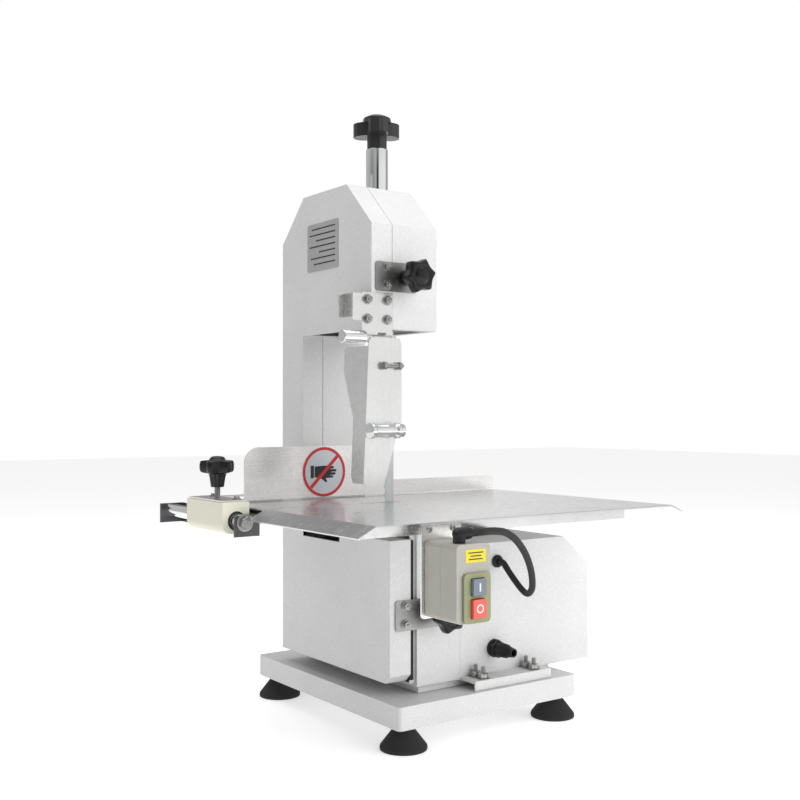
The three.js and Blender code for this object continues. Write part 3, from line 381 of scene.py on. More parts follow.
@dataclass(frozen=True)
class Finish:
    """A surface finish: its slot in the record and what its shader is made of.

    Every finish varies in colour, roughness and height. The subclasses say how.
    """

    name: str
    slot: str
    colour: Colour
    roughness: float
    metallic: float = 0.0
    coat: float = 0.0
    specular: float = 0.5
    # Edge amount and edge colour: rims lightened partly by rubbed wear, partly as a painted edge
    # highlight.
    wear_and_highlight: float = 0.5
    worn_and_highlight_colour: Colour = (0.5, 0.5, 0.5)
    dust: float = 0.1
    clouds: float = 0.06
    clouds_scale: float = 14.0

    def material(self) -> bpy.types.Material:
        """Gives this finish's material, built on first use.

        Returns:
            The material.
        """
        known = bpy.data.materials.get(self.name)
        if known is not None:
            return known
        made = bpy.data.materials.new(self.name)
        made.use_nodes = True
        hand = Graph(made.node_tree)
        shader = next(n for n in made.node_tree.nodes if n.type == "BSDF_PRINCIPLED")
        shader.inputs["Metallic"].default_value = self.metallic
        shader.inputs["Coat Weight"].default_value = self.coat
        shader.inputs["Coat Roughness"].default_value = COAT_ROUGHNESS
        shader.inputs["Specular IOR Level"].default_value = self.specular
        made.diffuse_color = (*self.colour, 1.0)
        colour, rough, height, strength, distance = self.surface(hand)
        # Lighter rims: partly rubbed wear, partly a painted edge highlight.
        worn_and_highlit = self.effect(hand, EFFECTS.edge_wear_and_highlight, Amount=self.wear_and_highlight)
        colour = hand.blend(worn_and_highlit.outputs["Mask"], colour, self.worn_and_highlight_colour)
        marks = self.effect(hand, EFFECTS.handling, Scale=self.clouds_scale)
        shade = hand.spread(marks.outputs["Clouds"], 0.0, 1.0, 1.0 - self.clouds, 1.0)
        tone = hand.node("ShaderNodeVectorMath", operation="SCALE")
        hand.feed(tone.inputs[0], colour)
        hand.feed(tone.inputs["Scale"], shade)
        settled = self.effect(hand, EFFECTS.dust, Amount=self.dust)
        dusty = hand.blend(settled.outputs["Mask"], tone.outputs[0], DUST_COLOUR)
        hand.feed(shader.inputs["Base Color"], dusty)
        mixed = hand.math("ADD", rough, hand.spread(marks.outputs["Streaks"], 0.0, 1.0, 0.0, self.clouds))
        hand.feed(shader.inputs["Roughness"], mixed)
        bump = hand.node("ShaderNodeBump")
        bump.inputs["Strength"].default_value = strength
        bump.inputs["Distance"].default_value = distance
        hand.feed(bump.inputs["Height"], height)
        hand.feed(shader.inputs["Normal"], bump.outputs[0])
        return made

    @staticmethod
    def effect(hand: Graph, group: bpy.types.NodeTree, **values: object) -> bpy.types.Node:
        """Places a shared effect in a material.

        Args:
            hand: The material's wiring hand.
            group: The shared group.
            **values: Input values by name.

        Returns:
            The group's node.
        """
        made = hand.node("ShaderNodeGroup", node_tree=group)
        for label, value in values.items():
            made.inputs[label].default_value = value
        return made

    def surface(self, hand: Graph) -> tuple:
        """Builds the finish's own colour, roughness and height.

        Args:
            hand: The material's wiring hand.

        Returns:
            The colour, roughness and height sockets, the bump's strength and its depth in metres.
        """
        grain = self.effect(hand, EFFECTS.grain)
        height = grain.outputs["Height"]
        rough = hand.spread(height, 0.3, 1.2, self.roughness - 0.04, self.roughness + 0.06)
        shaded = tuple(c * 0.86 for c in self.colour)
        colour = hand.blend(hand.spread(height, 0.2, 1.3, 0.0, 1.0), shaded, self.colour)
        return colour, rough, height, 0.25, 0.0001


@dataclass(frozen=True)
class PaintFinish(Finish):
    """Textured metallic paint with dark and light flecks and a light orange peel."""

    fleck_dark: Colour = (0.30, 0.31, 0.32)
    fleck_light: Colour = (0.9, 0.9, 0.9)
    fleck_amount: float = 0.55

    def surface(self, hand: Graph) -> tuple:
        """Builds flecked paint.

        Args:
            hand: The material's wiring hand.

        Returns:
            The colour, roughness and height sockets, the bump's strength and its depth in metres.
        """
        flecks = self.effect(hand, EFFECTS.speckle)
        dark = hand.math("MULTIPLY", flecks.outputs["Dark"], self.fleck_amount)
        light = hand.math("MULTIPLY", flecks.outputs["Light"], self.fleck_amount * 0.6)
        colour = hand.blend(light, hand.blend(dark, self.colour, self.fleck_dark), self.fleck_light)
        rough = hand.spread(flecks.outputs["Height"], 0.4, 1.0, self.roughness - 0.06,
                            self.roughness + 0.08)
        return colour, rough, flecks.outputs["Height"], 0.32, 0.00018


@dataclass(frozen=True)
class MetalFinish(Finish):
    """Bare metal with grinding lines along one direction."""

    metallic: float = 1.0
    stretch: tuple[float, float, float] = (12.0, 900.0, 900.0)
    line_contrast: float = 0.08
    line_depth: float = 0.00003

    def surface(self, hand: Graph) -> tuple:
        """Builds ground or polished metal.

        Args:
            hand: The material's wiring hand.

        Returns:
            The colour, roughness and height sockets, the bump's strength and its depth in metres.
        """
        lines = self.effect(hand, EFFECTS.brushing, Stretch=self.stretch)
        darker = tuple(c * (1.0 - self.line_contrast) for c in self.colour)
        colour = hand.blend(hand.spread(lines.outputs["Lines"], 0.3, 0.7, 0.0, 1.0), darker, self.colour)
        spread = self.line_contrast * 0.9
        low = max(0.02, self.roughness - spread)
        rough = hand.spread(lines.outputs["Fine"], 0.3, 0.7, low, self.roughness + spread)
        return colour, rough, lines.outputs["Lines"], 0.18, self.line_depth


@dataclass(frozen=True)
class PlasticFinish(Finish):
    """Moulded plastic or rubber with a fine grain."""

    grain_scale: float = 1400.0
    grain_strength: float = 0.2
    grain_depth: float = 0.00008

    def surface(self, hand: Graph) -> tuple:
        """Builds a moulded grain.

        Args:
            hand: The material's wiring hand.

        Returns:
            The colour, roughness and height sockets, the bump's strength and its depth in metres.
        """
        grain = self.effect(hand, EFFECTS.grain, Scale=self.grain_scale)
        height = grain.outputs["Height"]
        rough = hand.spread(height, 0.3, 1.3, self.roughness - 0.05, self.roughness + 0.07)
        deep = tuple(c * 0.8 for c in self.colour)
        colour = hand.blend(hand.spread(height, 0.2, 1.3, 0.0, 1.0), deep, self.colour)
        return colour, rough, height, self.grain_strength, self.grain_depth


PAINT = PaintFinish("silver_textured_paint", "casing_paint", (0.66, 0.665, 0.66), 0.42, metallic=0.0,
                    coat=0.12, wear_and_highlight=0.35, worn_and_highlight_colour=(0.72, 0.72, 0.72), dust=0.06, clouds=0.05)
TABLE_STEEL = MetalFinish("polished_table_steel", "polished_stainless", (0.68, 0.68, 0.68), 0.2,
                          wear_and_highlight=0.25, worn_and_highlight_colour=(0.72, 0.72, 0.72), dust=0.03, clouds=0.1,
                          stretch=(9.0, 1000.0, 1000.0), line_contrast=0.05)
GUARD_STEEL = MetalFinish("polished_guard_steel", "polished_stainless", (0.84, 0.84, 0.835), 0.26,
                          wear_and_highlight=0.25, worn_and_highlight_colour=(0.92, 0.92, 0.92), dust=0.02, clouds=0.05,
                          stretch=(900.0, 900.0, 9.0), line_contrast=0.06)
SATIN_STEEL = MetalFinish("satin_fence_steel", "satin_stainless", (0.88, 0.865, 0.85), 0.27,
                          wear_and_highlight=0.3, worn_and_highlight_colour=(0.88, 0.88, 0.88), dust=0.03, clouds=0.07,
                          stretch=(8.0, 800.0, 800.0), line_contrast=0.08)
CHROME = MetalFinish("bright_chrome", "chrome", (0.86, 0.865, 0.87), 0.07, wear_and_highlight=0.1,
                     worn_and_highlight_colour=(0.9, 0.9, 0.9), dust=0.03, clouds=0.03, stretch=(500.0, 500.0, 500.0),
                     line_contrast=0.03)
PLATE_STEEL = MetalFinish("satin_plate_steel", "satin_stainless", (0.38, 0.38, 0.375), 0.34, wear_and_highlight=0.5,
                          worn_and_highlight_colour=(0.7, 0.7, 0.7), dust=0.05, clouds=0.12)
STEEL = MetalFinish("machined_steel", "machined_steel", (0.50, 0.51, 0.52), 0.33, wear_and_highlight=0.3,
                    worn_and_highlight_colour=(0.75, 0.75, 0.75), dust=0.08, clouds=0.12, line_contrast=0.15)
DARK_STEEL = MetalFinish("dark_bracket_steel", "machined_steel", (0.13, 0.13, 0.135), 0.38, wear_and_highlight=0.6,
                         worn_and_highlight_colour=(0.6, 0.6, 0.6), dust=0.1, clouds=0.1)
BLADE_STEEL = MetalFinish("ground_blade_steel", "blade_steel", (0.66, 0.67, 0.68), 0.28, wear_and_highlight=0.3,
                          worn_and_highlight_colour=(0.9, 0.9, 0.9), stretch=(900.0, 900.0, 20.0), line_contrast=0.12)
FASTENER = MetalFinish("plated_fastener", "machined_steel", (0.46, 0.46, 0.45), 0.3, wear_and_highlight=0.4,
                       worn_and_highlight_colour=(0.62, 0.62, 0.62), clouds=0.2, stretch=(600.0, 600.0, 600.0))
CAST = MetalFinish("cast_alloy", "cast_alloy", (0.55, 0.56, 0.57), 0.42, wear_and_highlight=0.4,
                   worn_and_highlight_colour=(0.8, 0.8, 0.8), dust=0.1, clouds=0.15, stretch=(700.0, 700.0, 700.0),
                   line_contrast=0.16, line_depth=0.00015)
BLACK_GLOSS = PlasticFinish("black_phenolic", "black_plastic", (0.006, 0.006, 0.0065), 0.22, coat=0.12,
                            specular=0.3,
                            wear_and_highlight=0.2, worn_and_highlight_colour=(0.05, 0.05, 0.05), dust=0.02, grain_strength=0.06)
BLACK_MATTE = PlasticFinish("black_gland_nylon", "black_plastic", (0.01, 0.01, 0.0105), 0.42,
                            specular=0.3,
                            wear_and_highlight=0.25, worn_and_highlight_colour=(0.06, 0.06, 0.06), dust=0.04)
RUBBER = PlasticFinish("black_rubber", "black_rubber", (0.007, 0.007, 0.0075), 0.45, specular=0.25,
                       wear_and_highlight=0.2,
                       worn_and_highlight_colour=(0.035, 0.035, 0.035), dust=0.04, grain_scale=900.0,
                       grain_strength=0.35)
NYLON = PlasticFinish("cream_nylon", "cream_nylon", (0.27, 0.27, 0.22), 0.5, wear_and_highlight=0.15,
                      worn_and_highlight_colour=(0.36, 0.36, 0.3), clouds=0.12, grain_scale=600.0)
GREY_BOX = PlasticFinish("warm_grey_box", "grey_plastic", (0.42, 0.41, 0.365), 0.4, wear_and_highlight=0.3,
                         worn_and_highlight_colour=(0.55, 0.54, 0.5), clouds=0.06)
OLIVE = PlasticFinish("olive_bezel", "olive_plastic", (0.30, 0.31, 0.17), 0.4, wear_and_highlight=0.3,
                      worn_and_highlight_colour=(0.42, 0.43, 0.3))
SLATE = PlasticFinish("slate_button", "slate_button", (0.055, 0.07, 0.095), 0.33, wear_and_highlight=0.3,
                      worn_and_highlight_colour=(0.16, 0.18, 0.2), coat=0.1)
RED = PlasticFinish("red_button", "red_button", (0.62, 0.028, 0.018), 0.33, wear_and_highlight=0.3,
                    worn_and_highlight_colour=(0.75, 0.2, 0.15), coat=0.1)
MARK_WHITE = PlasticFinish("white_mark", "grey_plastic", (0.82, 0.82, 0.80), 0.4, wear_and_highlight=0.1, dust=0.0)
MARK_BLACK = PlasticFinish("black_mark", "black_plastic", (0.02, 0.02, 0.02), 0.45, wear_and_highlight=0.1, dust=0.0)
MARK_RED = PlasticFinish("red_mark", "red_button", (0.60, 0.02, 0.02), 0.4, wear_and_highlight=0.1, dust=0.0,
                         clouds=0.08)
LABEL_YELLOW = PlasticFinish("yellow_label", "grey_plastic", (0.80, 0.66, 0.03), 0.4, wear_and_highlight=0.1, dust=0.0)
DISC_SILVER = MetalFinish("silver_foil", "satin_stainless", (0.62, 0.64, 0.68), 0.3, wear_and_highlight=0.1, dust=0.0,
                          stretch=(500.0, 500.0, 500.0), line_contrast=0.04)
PLATE_SILVER = MetalFinish("rating_plate_foil", "satin_stainless", (0.60, 0.60, 0.60), 0.4, wear_and_highlight=0.2,
                           dust=0.02, stretch=(500.0, 500.0, 500.0), line_contrast=0.05)


# ------------------------------------------------------------------ mesh building
def dress(name: str, mesh: bpy.types.Mesh, finish: Finish, body: str, sharp: float = 38.0,
          weighted: bool = True) -> bpy.types.Object:
    """Turns a mesh into a piece that rides on a body.

    Args:
        name: The piece's name.
        mesh: Its mesh, in the frame's metres.
        finish: Its finish.
        body: The CAD body that it moves with.
        sharp: Angle in degrees from which an edge is shaded sharp.
        weighted: Whether large flat faces keep their own normal.

    Returns:
        The piece.
    """
    piece = bpy.data.objects.new(name, mesh)
    bpy.context.scene.collection.objects.link(piece)
    mesh.materials.clear()
    mesh.materials.append(finish.material())
    mesh.shade_smooth()
    mesh.set_sharp_from_angle(angle=math.radians(sharp))
    if weighted:
        modifier = piece.modifiers.new("weighted", "WEIGHTED_NORMAL")
        modifier.keep_sharp = True
    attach(piece, body)
    return piece


def mesh_from(name: str, bm: bmesh.types.BMesh, turn_out: bool = True) -> bpy.types.Mesh:
    """Writes a bmesh to a new mesh, faces outwards, and frees it.

    Args:
        name: The mesh's name.
        bm: The bmesh, in the frame's metres.
        turn_out: Whether its faces have to be turned outwards first.

    Returns:
        The mesh.
    """
    if turn_out:
        bmesh.ops.recalc_face_normals(bm, faces=bm.faces[:])
    mesh = bpy.data.meshes.new(name)
    bm.to_mesh(mesh)
    bm.free()
    return mesh


def soften_edges(bm: bmesh.types.BMesh, width: float, segments: int = 2, least: float = 28.0) -> None:
    """Rounds the edges that turn by more than an angle.

    Args:
        bm: The bmesh, in the frame's metres.
        width: Width of the rounding in millimetres.
        segments: Steps across it.
        least: Smallest turn, in degrees, that is rounded.
    """
    bm.normal_update()
    chosen = [edge for edge in bm.edges
              if len(edge.link_faces) == 2 and edge.calc_face_angle(0.0) > math.radians(least)]
    if chosen and width > 0:
        bmesh.ops.bevel(bm, geom=chosen, offset=width * MM, offset_type="OFFSET", segments=segments,
                        profile=0.5, affect="EDGES", clamp_overlap=True)


@dataclass
class Ring:
    """One ring of a turned piece: its place, its radius and how it departs from a circle."""

    along: float
    radius: float
    lobes: int = 0
    depth: float = 0.0
    hexagon: bool = False
    pointed: float = 2.0

    def reach(self, angle: float) -> float:
        """Gives the ring's radius at an angle.

        Args:
            angle: Angle in radians.

        Returns:
            The radius in millimetres.
        """
        if self.hexagon:
            part = (angle + math.pi / 6) % (math.pi / 3) - math.pi / 6
            return self.radius / math.cos(part)
        if self.lobes:
            wave = abs(math.sin(self.lobes * angle / 2))
            return self.radius - self.depth * wave ** self.pointed
        return self.radius


def rounded_profile(points: Sequence[Point2], radius: float = 0.6, steps: int = 3) -> list[Ring]:
    """Rounds the corners of a turned profile.

    Args:
        points: The profile as (radius, place along the axis).
        radius: Size of the rounding in millimetres.
        steps: Steps round each corner.

    Returns:
        The profile's rings.
    """
    rings: list[Ring] = []
    last = len(points) - 1
    for index, (r, w) in enumerate(points):
        if index in (0, last):
            rings.append(Ring(w, r))
            continue
        here = Vector((r, w))
        before = Vector(points[index - 1])
        after = Vector(points[index + 1])
        size = min(radius, (before - here).length * 0.45, (after - here).length * 0.45)
        start = here + (before - here).normalized() * size
        end = here + (after - here).normalized() * size
        for step in range(steps + 1):
            t = step / steps
            spot = start * (1 - t) ** 2 + here * 2 * t * (1 - t) + end * t ** 2
            rings.append(Ring(spot.y, spot.x))
    return rings


def turned(name: str, rings: Sequence[Ring], axis: Axis, centre: tuple[float, float, float],
           finish: Finish, body: str, sides: int = 64, turn: float = 0.0, closed: bool = False,
           sharp: float = 50.0) -> bpy.types.Object:
    """Builds a turned piece from its rings.

    Args:
        name: The piece's name.
        rings: Its rings, from one end to the other.
        axis: Its axis.
        centre: A bench point on the axis; the place along the axis adds to it.
        finish: Its finish.
        body: The body that it moves with.
        sides: Number of sides.
        turn: Angle in degrees by which it is turned about its axis.
        closed: Whether the last ring joins the first, as on a tube with a bore.
        sharp: Angle in degrees from which an edge is shaded sharp.

    Returns:
        The piece.
    """
    bm = bmesh.new()
    middle = Vector(centre)
    loops = []
    for ring in rings:
        if ring.radius < 1e-6:
            loops.append([bm.verts.new(Bench.at(*(middle + axis.place(0.0, 0.0, ring.along))))])
            continue
        loop = []
        for side in range(sides):
            angle = 2 * math.pi * side / sides
            reach = ring.reach(angle)
            seen = angle + math.radians(turn)
            spot = middle + axis.place(reach * math.cos(seen), reach * math.sin(seen), ring.along)
            loop.append(bm.verts.new(Bench.at(*spot)))
        loops.append(loop)
    pairs = list(zip(loops, loops[1:]))
    if closed:
        pairs.append((loops[-1], loops[0]))
    for low, high in pairs:
        for side in range(sides):
            after = (side + 1) % sides
            corners = [low[side % len(low)], low[after % len(low)], high[after % len(high)],
                       high[side % len(high)]]
            unique = list(dict.fromkeys(corners))
            if len(unique) >= 3:
                bm.faces.new(unique)
    return dress(name, mesh_from(name, bm), finish, body, sharp, weighted=False)


def rounded(points: Sequence[tuple[float, ...]], usual: float = 0.0, steps: int = 6) -> list[Point2]:
    """Rounds the corners of an outline.

    Args:
        points: The corners as (u, v) or (u, v, radius).
        usual: Radius where a corner gives none.
        steps: Steps round each corner.

    Returns:
        The outline's points.
    """
    outline: list[Point2] = []
    count = len(points)
    for index, corner in enumerate(points):
        radius = corner[2] if len(corner) > 2 else usual
        here = Vector(corner[:2])
        before = Vector(points[index - 1][:2])
        after = Vector(points[(index + 1) % count][:2])
        if radius <= 0:
            outline.append((here.x, here.y))
            continue
        to_before = (before - here).normalized()
        to_after = (after - here).normalized()
        half = max(0.05, to_before.angle(to_after) / 2)
        cut = min(radius / math.tan(half), (before - here).length * 0.49, (after - here).length * 0.49)
        true_radius = cut * math.tan(half)
        centre = here + (to_before + to_after).normalized() * (true_radius / math.sin(half))
        start = here + to_before * cut - centre
        end = here + to_after * cut - centre
        turn = start.angle_signed(end)
        for step in range(steps + 1):
            swing = Matrix.Rotation(-turn * step / steps, 2)
            spot = centre + swing @ start
            outline.append((spot.x, spot.y))
    return outline


def circle(u: float, v: float, radius: float, sides: int = 32) -> list[Point2]:
    """Gives a round hole's or disc's outline.

    Args:
        u: First coordinate of the centre.
        v: Second coordinate of the centre.
        radius: Radius of the round.
        sides: Number of corners.

    Returns:
        The corners, anticlockwise.
    """
    return [(u + radius * math.cos(2 * math.pi * i / sides),
             v + radius * math.sin(2 * math.pi * i / sides))
            for i in range(sides)]


def plate_mesh(name: str, outline: Sequence[Point2], low: float, high: float, axis: Axis,
               holes: Sequence[Sequence[Point2]] = (), edge: float = 0.4,
               shift: Optional[Callable[[Vector], Vector]] = None) -> bpy.types.Mesh:
    """Builds a flat plate with holes and rounded rims.

    Args:
        name: The mesh's name.
        outline: Its outline in flat coordinates.
        low: Lower place along the axis.
        high: Upper place along the axis.
        axis: The direction of its thickness.
        holes: Outlines of its holes.
        edge: Width of the rounding on its rims.
        shift: A change made to each finished bench point, such as a bend.

    Returns:
        The mesh.
    """
    bm = bmesh.new()
    edges = []
    for loop in (outline, *holes):
        verts = [bm.verts.new(axis.place(u, v, low)) for u, v in loop]
        edges += [bm.edges.new((verts[i - 1], verts[i])) for i in range(len(verts))]
    filled = bmesh.ops.triangle_fill(bm, use_beauty=True, use_dissolve=False, edges=edges,
                                     normal=axis.place(0, 0, 1))
    faces = [item for item in filled["geom"] if isinstance(item, bmesh.types.BMFace)]
    grown = bmesh.ops.extrude_face_region(bm, geom=faces, use_keep_orig=True)
    moved = [item for item in grown["geom"] if isinstance(item, bmesh.types.BMVert)]
    bmesh.ops.translate(bm, verts=moved, vec=axis.place(0, 0, high - low))
    bmesh.ops.recalc_face_normals(bm, faces=bm.faces[:])
    if edge > 0:
        bm.normal_update()
        rims = [e for e in bm.edges if len(e.link_faces) == 2
                and e.calc_face_angle(0.0) > math.radians(60)
                and abs((e.verts[0].co - e.verts[1].co).dot(axis.place(0, 0, 1))) < 1e-6]
        bmesh.ops.bevel(bm, geom=rims, offset=edge, offset_type="OFFSET", segments=2, profile=0.5,
                        affect="EDGES", clamp_overlap=True)
    for vert in bm.verts:
        spot = shift(vert.co.copy()) if shift else vert.co
        vert.co = Bench.at(*spot)
    return mesh_from(name, bm)


def plate(name: str, outline: Sequence[Point2], low: float, high: float, axis: Axis, finish: Finish,
          body: str, holes: Sequence[Sequence[Point2]] = (), edge: float = 0.4,
          shift: Optional[Callable[[Vector], Vector]] = None) -> bpy.types.Object:
    """Builds a flat plate as a piece; see plate_mesh for the arguments.

    Args:
        name: The piece's name.
        outline: Its outline.
        low: Lower place along the axis.
        high: Upper place along the axis.
        axis: The direction of its thickness.
        finish: Its finish.
        body: The body that it moves with.
        holes: Outlines of its holes.
        edge: Width of the rounding on its rims.
        shift: A change made to each finished bench point.

    Returns:
        The piece.
    """
    return dress(name, plate_mesh(name, outline, low, high, axis, holes, edge, shift), finish, body)


def refined(name: str, node: str, finish: Finish, body: str, edge: float = 0.6,
            least: float = 28.0) -> bpy.types.Object:
    """Gives a CAD node its rounded edges and its finish, as a piece that stands for it.

    Args:
        name: The piece's name.
        node: The CAD node.
        finish: Its finish.
        body: The body that it moves with.
        edge: Width of the rounding on its edges.
        least: Smallest turn, in degrees, that is rounded.

    Returns:
        The piece.
    """
    bm = bmesh.new()
    bm.from_mesh(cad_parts[node].data)
    bmesh.ops.remove_doubles(bm, verts=bm.verts[:], dist=1e-6)
    bmesh.ops.join_triangles(bm, faces=bm.faces[:], angle_face_threshold=math.radians(0.8),
                             angle_shape_threshold=math.pi)
    soften_edges(bm, edge, 2, least)
    piece = dress(name, mesh_from(name, bm, False), finish, body)
    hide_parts(node)
    return piece


class Fasteners:
    """Screws, bolts, nuts and washers, each made as its own piece."""

    @staticmethod
    def pan_screw(name: str, centre: tuple[float, float, float], axis: Axis, way: float, radius: float,
                  body: str, height: float = 0.0, washer: bool = True) -> None:
        """Makes a pan-head screw with a hexagon socket and a washer.

        Args:
            name: The piece's name.
            centre: The bench point where its head meets the sheet.
            axis: Its axis.
            way: 1 or -1, the way its head faces along the axis.
            radius: Radius of the head.
            body: The body that it moves with.
            height: Height of the head, or 0 for the usual one.
            washer: Whether a washer lies under it.
        """
        tall = height or radius * 0.95
        seat = 0.0
        if washer:
            seat = 0.9
            rings = rounded_profile([(radius * 0.5, 0.05 * way), (radius * 1.42, 0.05 * way),
                                     (radius * 1.42, seat * way), (radius * 0.5, seat * way)], 0.25)
            turned(f"{name}_washer", rings, axis, centre, FASTENER, body, 40, closed=True)
        socket = radius * 0.46
        rings = [Ring(seat * way, 0.0), Ring(seat * way, radius * 0.96), Ring((seat + 0.2) * way, radius),
                 Ring((seat + tall * 0.62) * way, radius), Ring((seat + tall * 0.86) * way, radius * 0.9),
                 Ring((seat + tall) * way, radius * 0.7),
                 Ring((seat + tall) * way, socket * 1.12, hexagon=True),
                 Ring((seat + tall * 0.94) * way, socket, hexagon=True),
                 Ring((seat + tall * 0.4) * way, socket, hexagon=True),
                 Ring((seat + tall * 0.4) * way, 0.0)]
        turned(name, rings, axis, centre, FASTENER, body, 36, sharp=35.0)

    @staticmethod
    def hex_nut(name: str, centre: tuple[float, float, float], axis: Axis, way: float, across: float,
                body: str, tail: float = 3.0) -> None:
        """Makes a hexagon nut on a washer with the end of its stud standing out.

        Args:
            name: The piece's name.
            centre: The bench point where its washer meets the sheet.
            axis: Its axis.
            way: 1 or -1, the way it stands out along the axis.
            across: Half the width across its flats.
            body: The body that it moves with.
            tail: How far the stud stands out of the nut.
        """
        rings = rounded_profile([(across * 0.5, 0.05 * way), (across * 1.5, 0.05 * way),
                                 (across * 1.5, 1.2 * way), (across * 0.5, 1.2 * way)], 0.3)
        turned(f"{name}_washer", rings, axis, centre, FASTENER, body, 40, closed=True)
        tall = across * 1.05
        bore = across * 0.52
        rings = [Ring(1.2 * way, bore), Ring(1.2 * way, across * 0.99),
                 Ring(1.5 * way, across, hexagon=True),
                 Ring((0.9 + tall) * way, across, hexagon=True), Ring((1.2 + tall) * way, across * 0.99),
                 Ring((1.2 + tall) * way, bore)]
        turned(f"{name}_nut", rings, axis, centre, FASTENER, body, 48, closed=True, sharp=30.0)
        Fasteners.thread(f"{name}_stud", centre, axis, way, across * 0.5, 0.05, 1.2 + tall + tail, body)

    @staticmethod
    def thread(name: str, centre: tuple[float, float, float], axis: Axis, way: float, radius: float,
               start: float, end: float, body: str, pitch: float = 1.25,
               finish: Finish = FASTENER) -> bpy.types.Object:
        """Makes a threaded bar as a turned bar with close rings.

        Args:
            name: The piece's name.
            centre: A bench point on its axis.
            axis: Its axis.
            way: 1 or -1 along the axis.
            radius: Outer radius of the thread.
            start: Where it starts, from the centre.
            end: Where it ends.
            body: The body that it moves with.
            pitch: Distance from thread to thread.
            finish: Its finish.

        Returns:
            The piece.
        """
        rings = [Ring(start * way, 0.0), Ring(start * way, radius * 0.86)]
        spot = start + pitch * 0.3
        while spot + pitch < end - 0.6:
            rings.append(Ring(spot * way, radius * 0.86))
            rings.append(Ring((spot + pitch * 0.4) * way, radius))
            rings.append(Ring((spot + pitch * 0.6) * way, radius))
            spot += pitch
        rings += [Ring((end - 0.6) * way, radius * 0.86), Ring(end * way, radius * 0.7),
                  Ring(end * way, 0.0)]
        return turned(name, rings, axis, centre, finish, body, 32, sharp=60.0)


# ------------------------------------------------------------------ sub-assemblies
@dataclass
class Cable:
    """The switch cord, from its gland to the grommet in the motor cover."""

    diameter: float = 8.5
    route: tuple[tuple[float, float, float], ...] = (
        (-56.4, -277.4, 302.3), (-47.4, -277.4, 302.3), (-38.4, -277.4, 302.3),
        (-13.5, -268.4, 300.8), (14.6, -255.1, 295.7), (46.6, -237.5, 282.6), (82.4, -213.8, 260.4),
        (114.2, -188.3, 234.3), (139.4, -162.1, 209.2), (156.8, -134.2, 196.2), (168.4, -107.6, 199.1),
        (175, -80.3, 213.4), (181.6, -58.9, 224.8), (181.6, -53.9, 226.8), (181.6, -49.9, 226.8))
    steps: int = 10

    def line(self) -> list[Vector]:
        """Gives the cord's centreline.

        Returns:
            Points in the frame's metres.
        """
        spots = [Bench.at(*spot) for spot in self.route]
        padded = [spots[0] * 2 - spots[1], *spots, spots[-1] * 2 - spots[-2]]
        line = []
        for a, b, c, d in zip(padded, padded[1:], padded[2:], padded[3:]):
            for step in range(self.steps):
                t = step / self.steps
                line.append(((b * 2) + (c - a) * t + (a * 2 - b * 5 + c * 4 - d) * t * t
                             + (b * 3 - a - c * 3 + d) * t ** 3) * 0.5)
        line.append(spots[-1])
        return line

    def build(self) -> None:
        line = self.line()
        data = bpy.data.curves.new("switch_cord_line", "CURVE")
        data.dimensions = "3D"
        data.bevel_depth = self.diameter * MM / 2
        data.bevel_resolution = 8
        data.use_fill_caps = True
        spline = data.splines.new("POLY")
        spline.points.add(len(line) - 1)
        for point, spot in zip(spline.points, line):
            point.co = (*spot, 1.0)
        spline.use_smooth = True
        data.materials.append(RUBBER.material())
        piece = bpy.data.objects.new("cord_flex", data)
        bpy.context.scene.collection.objects.link(piece)
        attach(piece, "frame")
        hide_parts("switch_cord")


@dataclass
class Base:
    """The bottom tray with its rubber feet and the riser on top of it."""

    foot_top: float = 15.0
    feet: tuple[str, ...] = ("foot_near_left", "foot_near_right", "foot_far_left", "foot_far_right")

    def build(self) -> None:
        """Makes the tray, the riser and the feet."""
        refined("tray_shell", "base_tray", PAINT, "frame", 1.6)
        refined("riser_shell", "base_riser", PAINT, "frame", 1.0)
        for foot in self.feet:
            self.build_foot(foot)

    def build_foot(self, node: str) -> None:
        """Makes one flared rubber foot.

        Args:
            node: Its CAD node.
        """
        low, high = Bench.box(node)
        centre = ((low.x + high.x) / 2, (low.y + high.y) / 2, 0.0)
        tread = (high.x - low.x) / 2
        tall = high.z
        inner = tread - 5.0
        profile = [(0.0, 4.0), (inner - 3.0, 4.0), (inner, 0.0), (tread, 0.0), (tread, 5.0),
                   (self.foot_top + 2.2, tall - 8.0), (self.foot_top, tall - 5.5), (self.foot_top, tall),
                   (0.0, tall)]
        piece = turned(f"{node}_rubber", rounded_profile(profile, 1.6, 4), Axis.Z, centre, RUBBER,
                       "frame",
                       72, sharp=60.0)
        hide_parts(node)


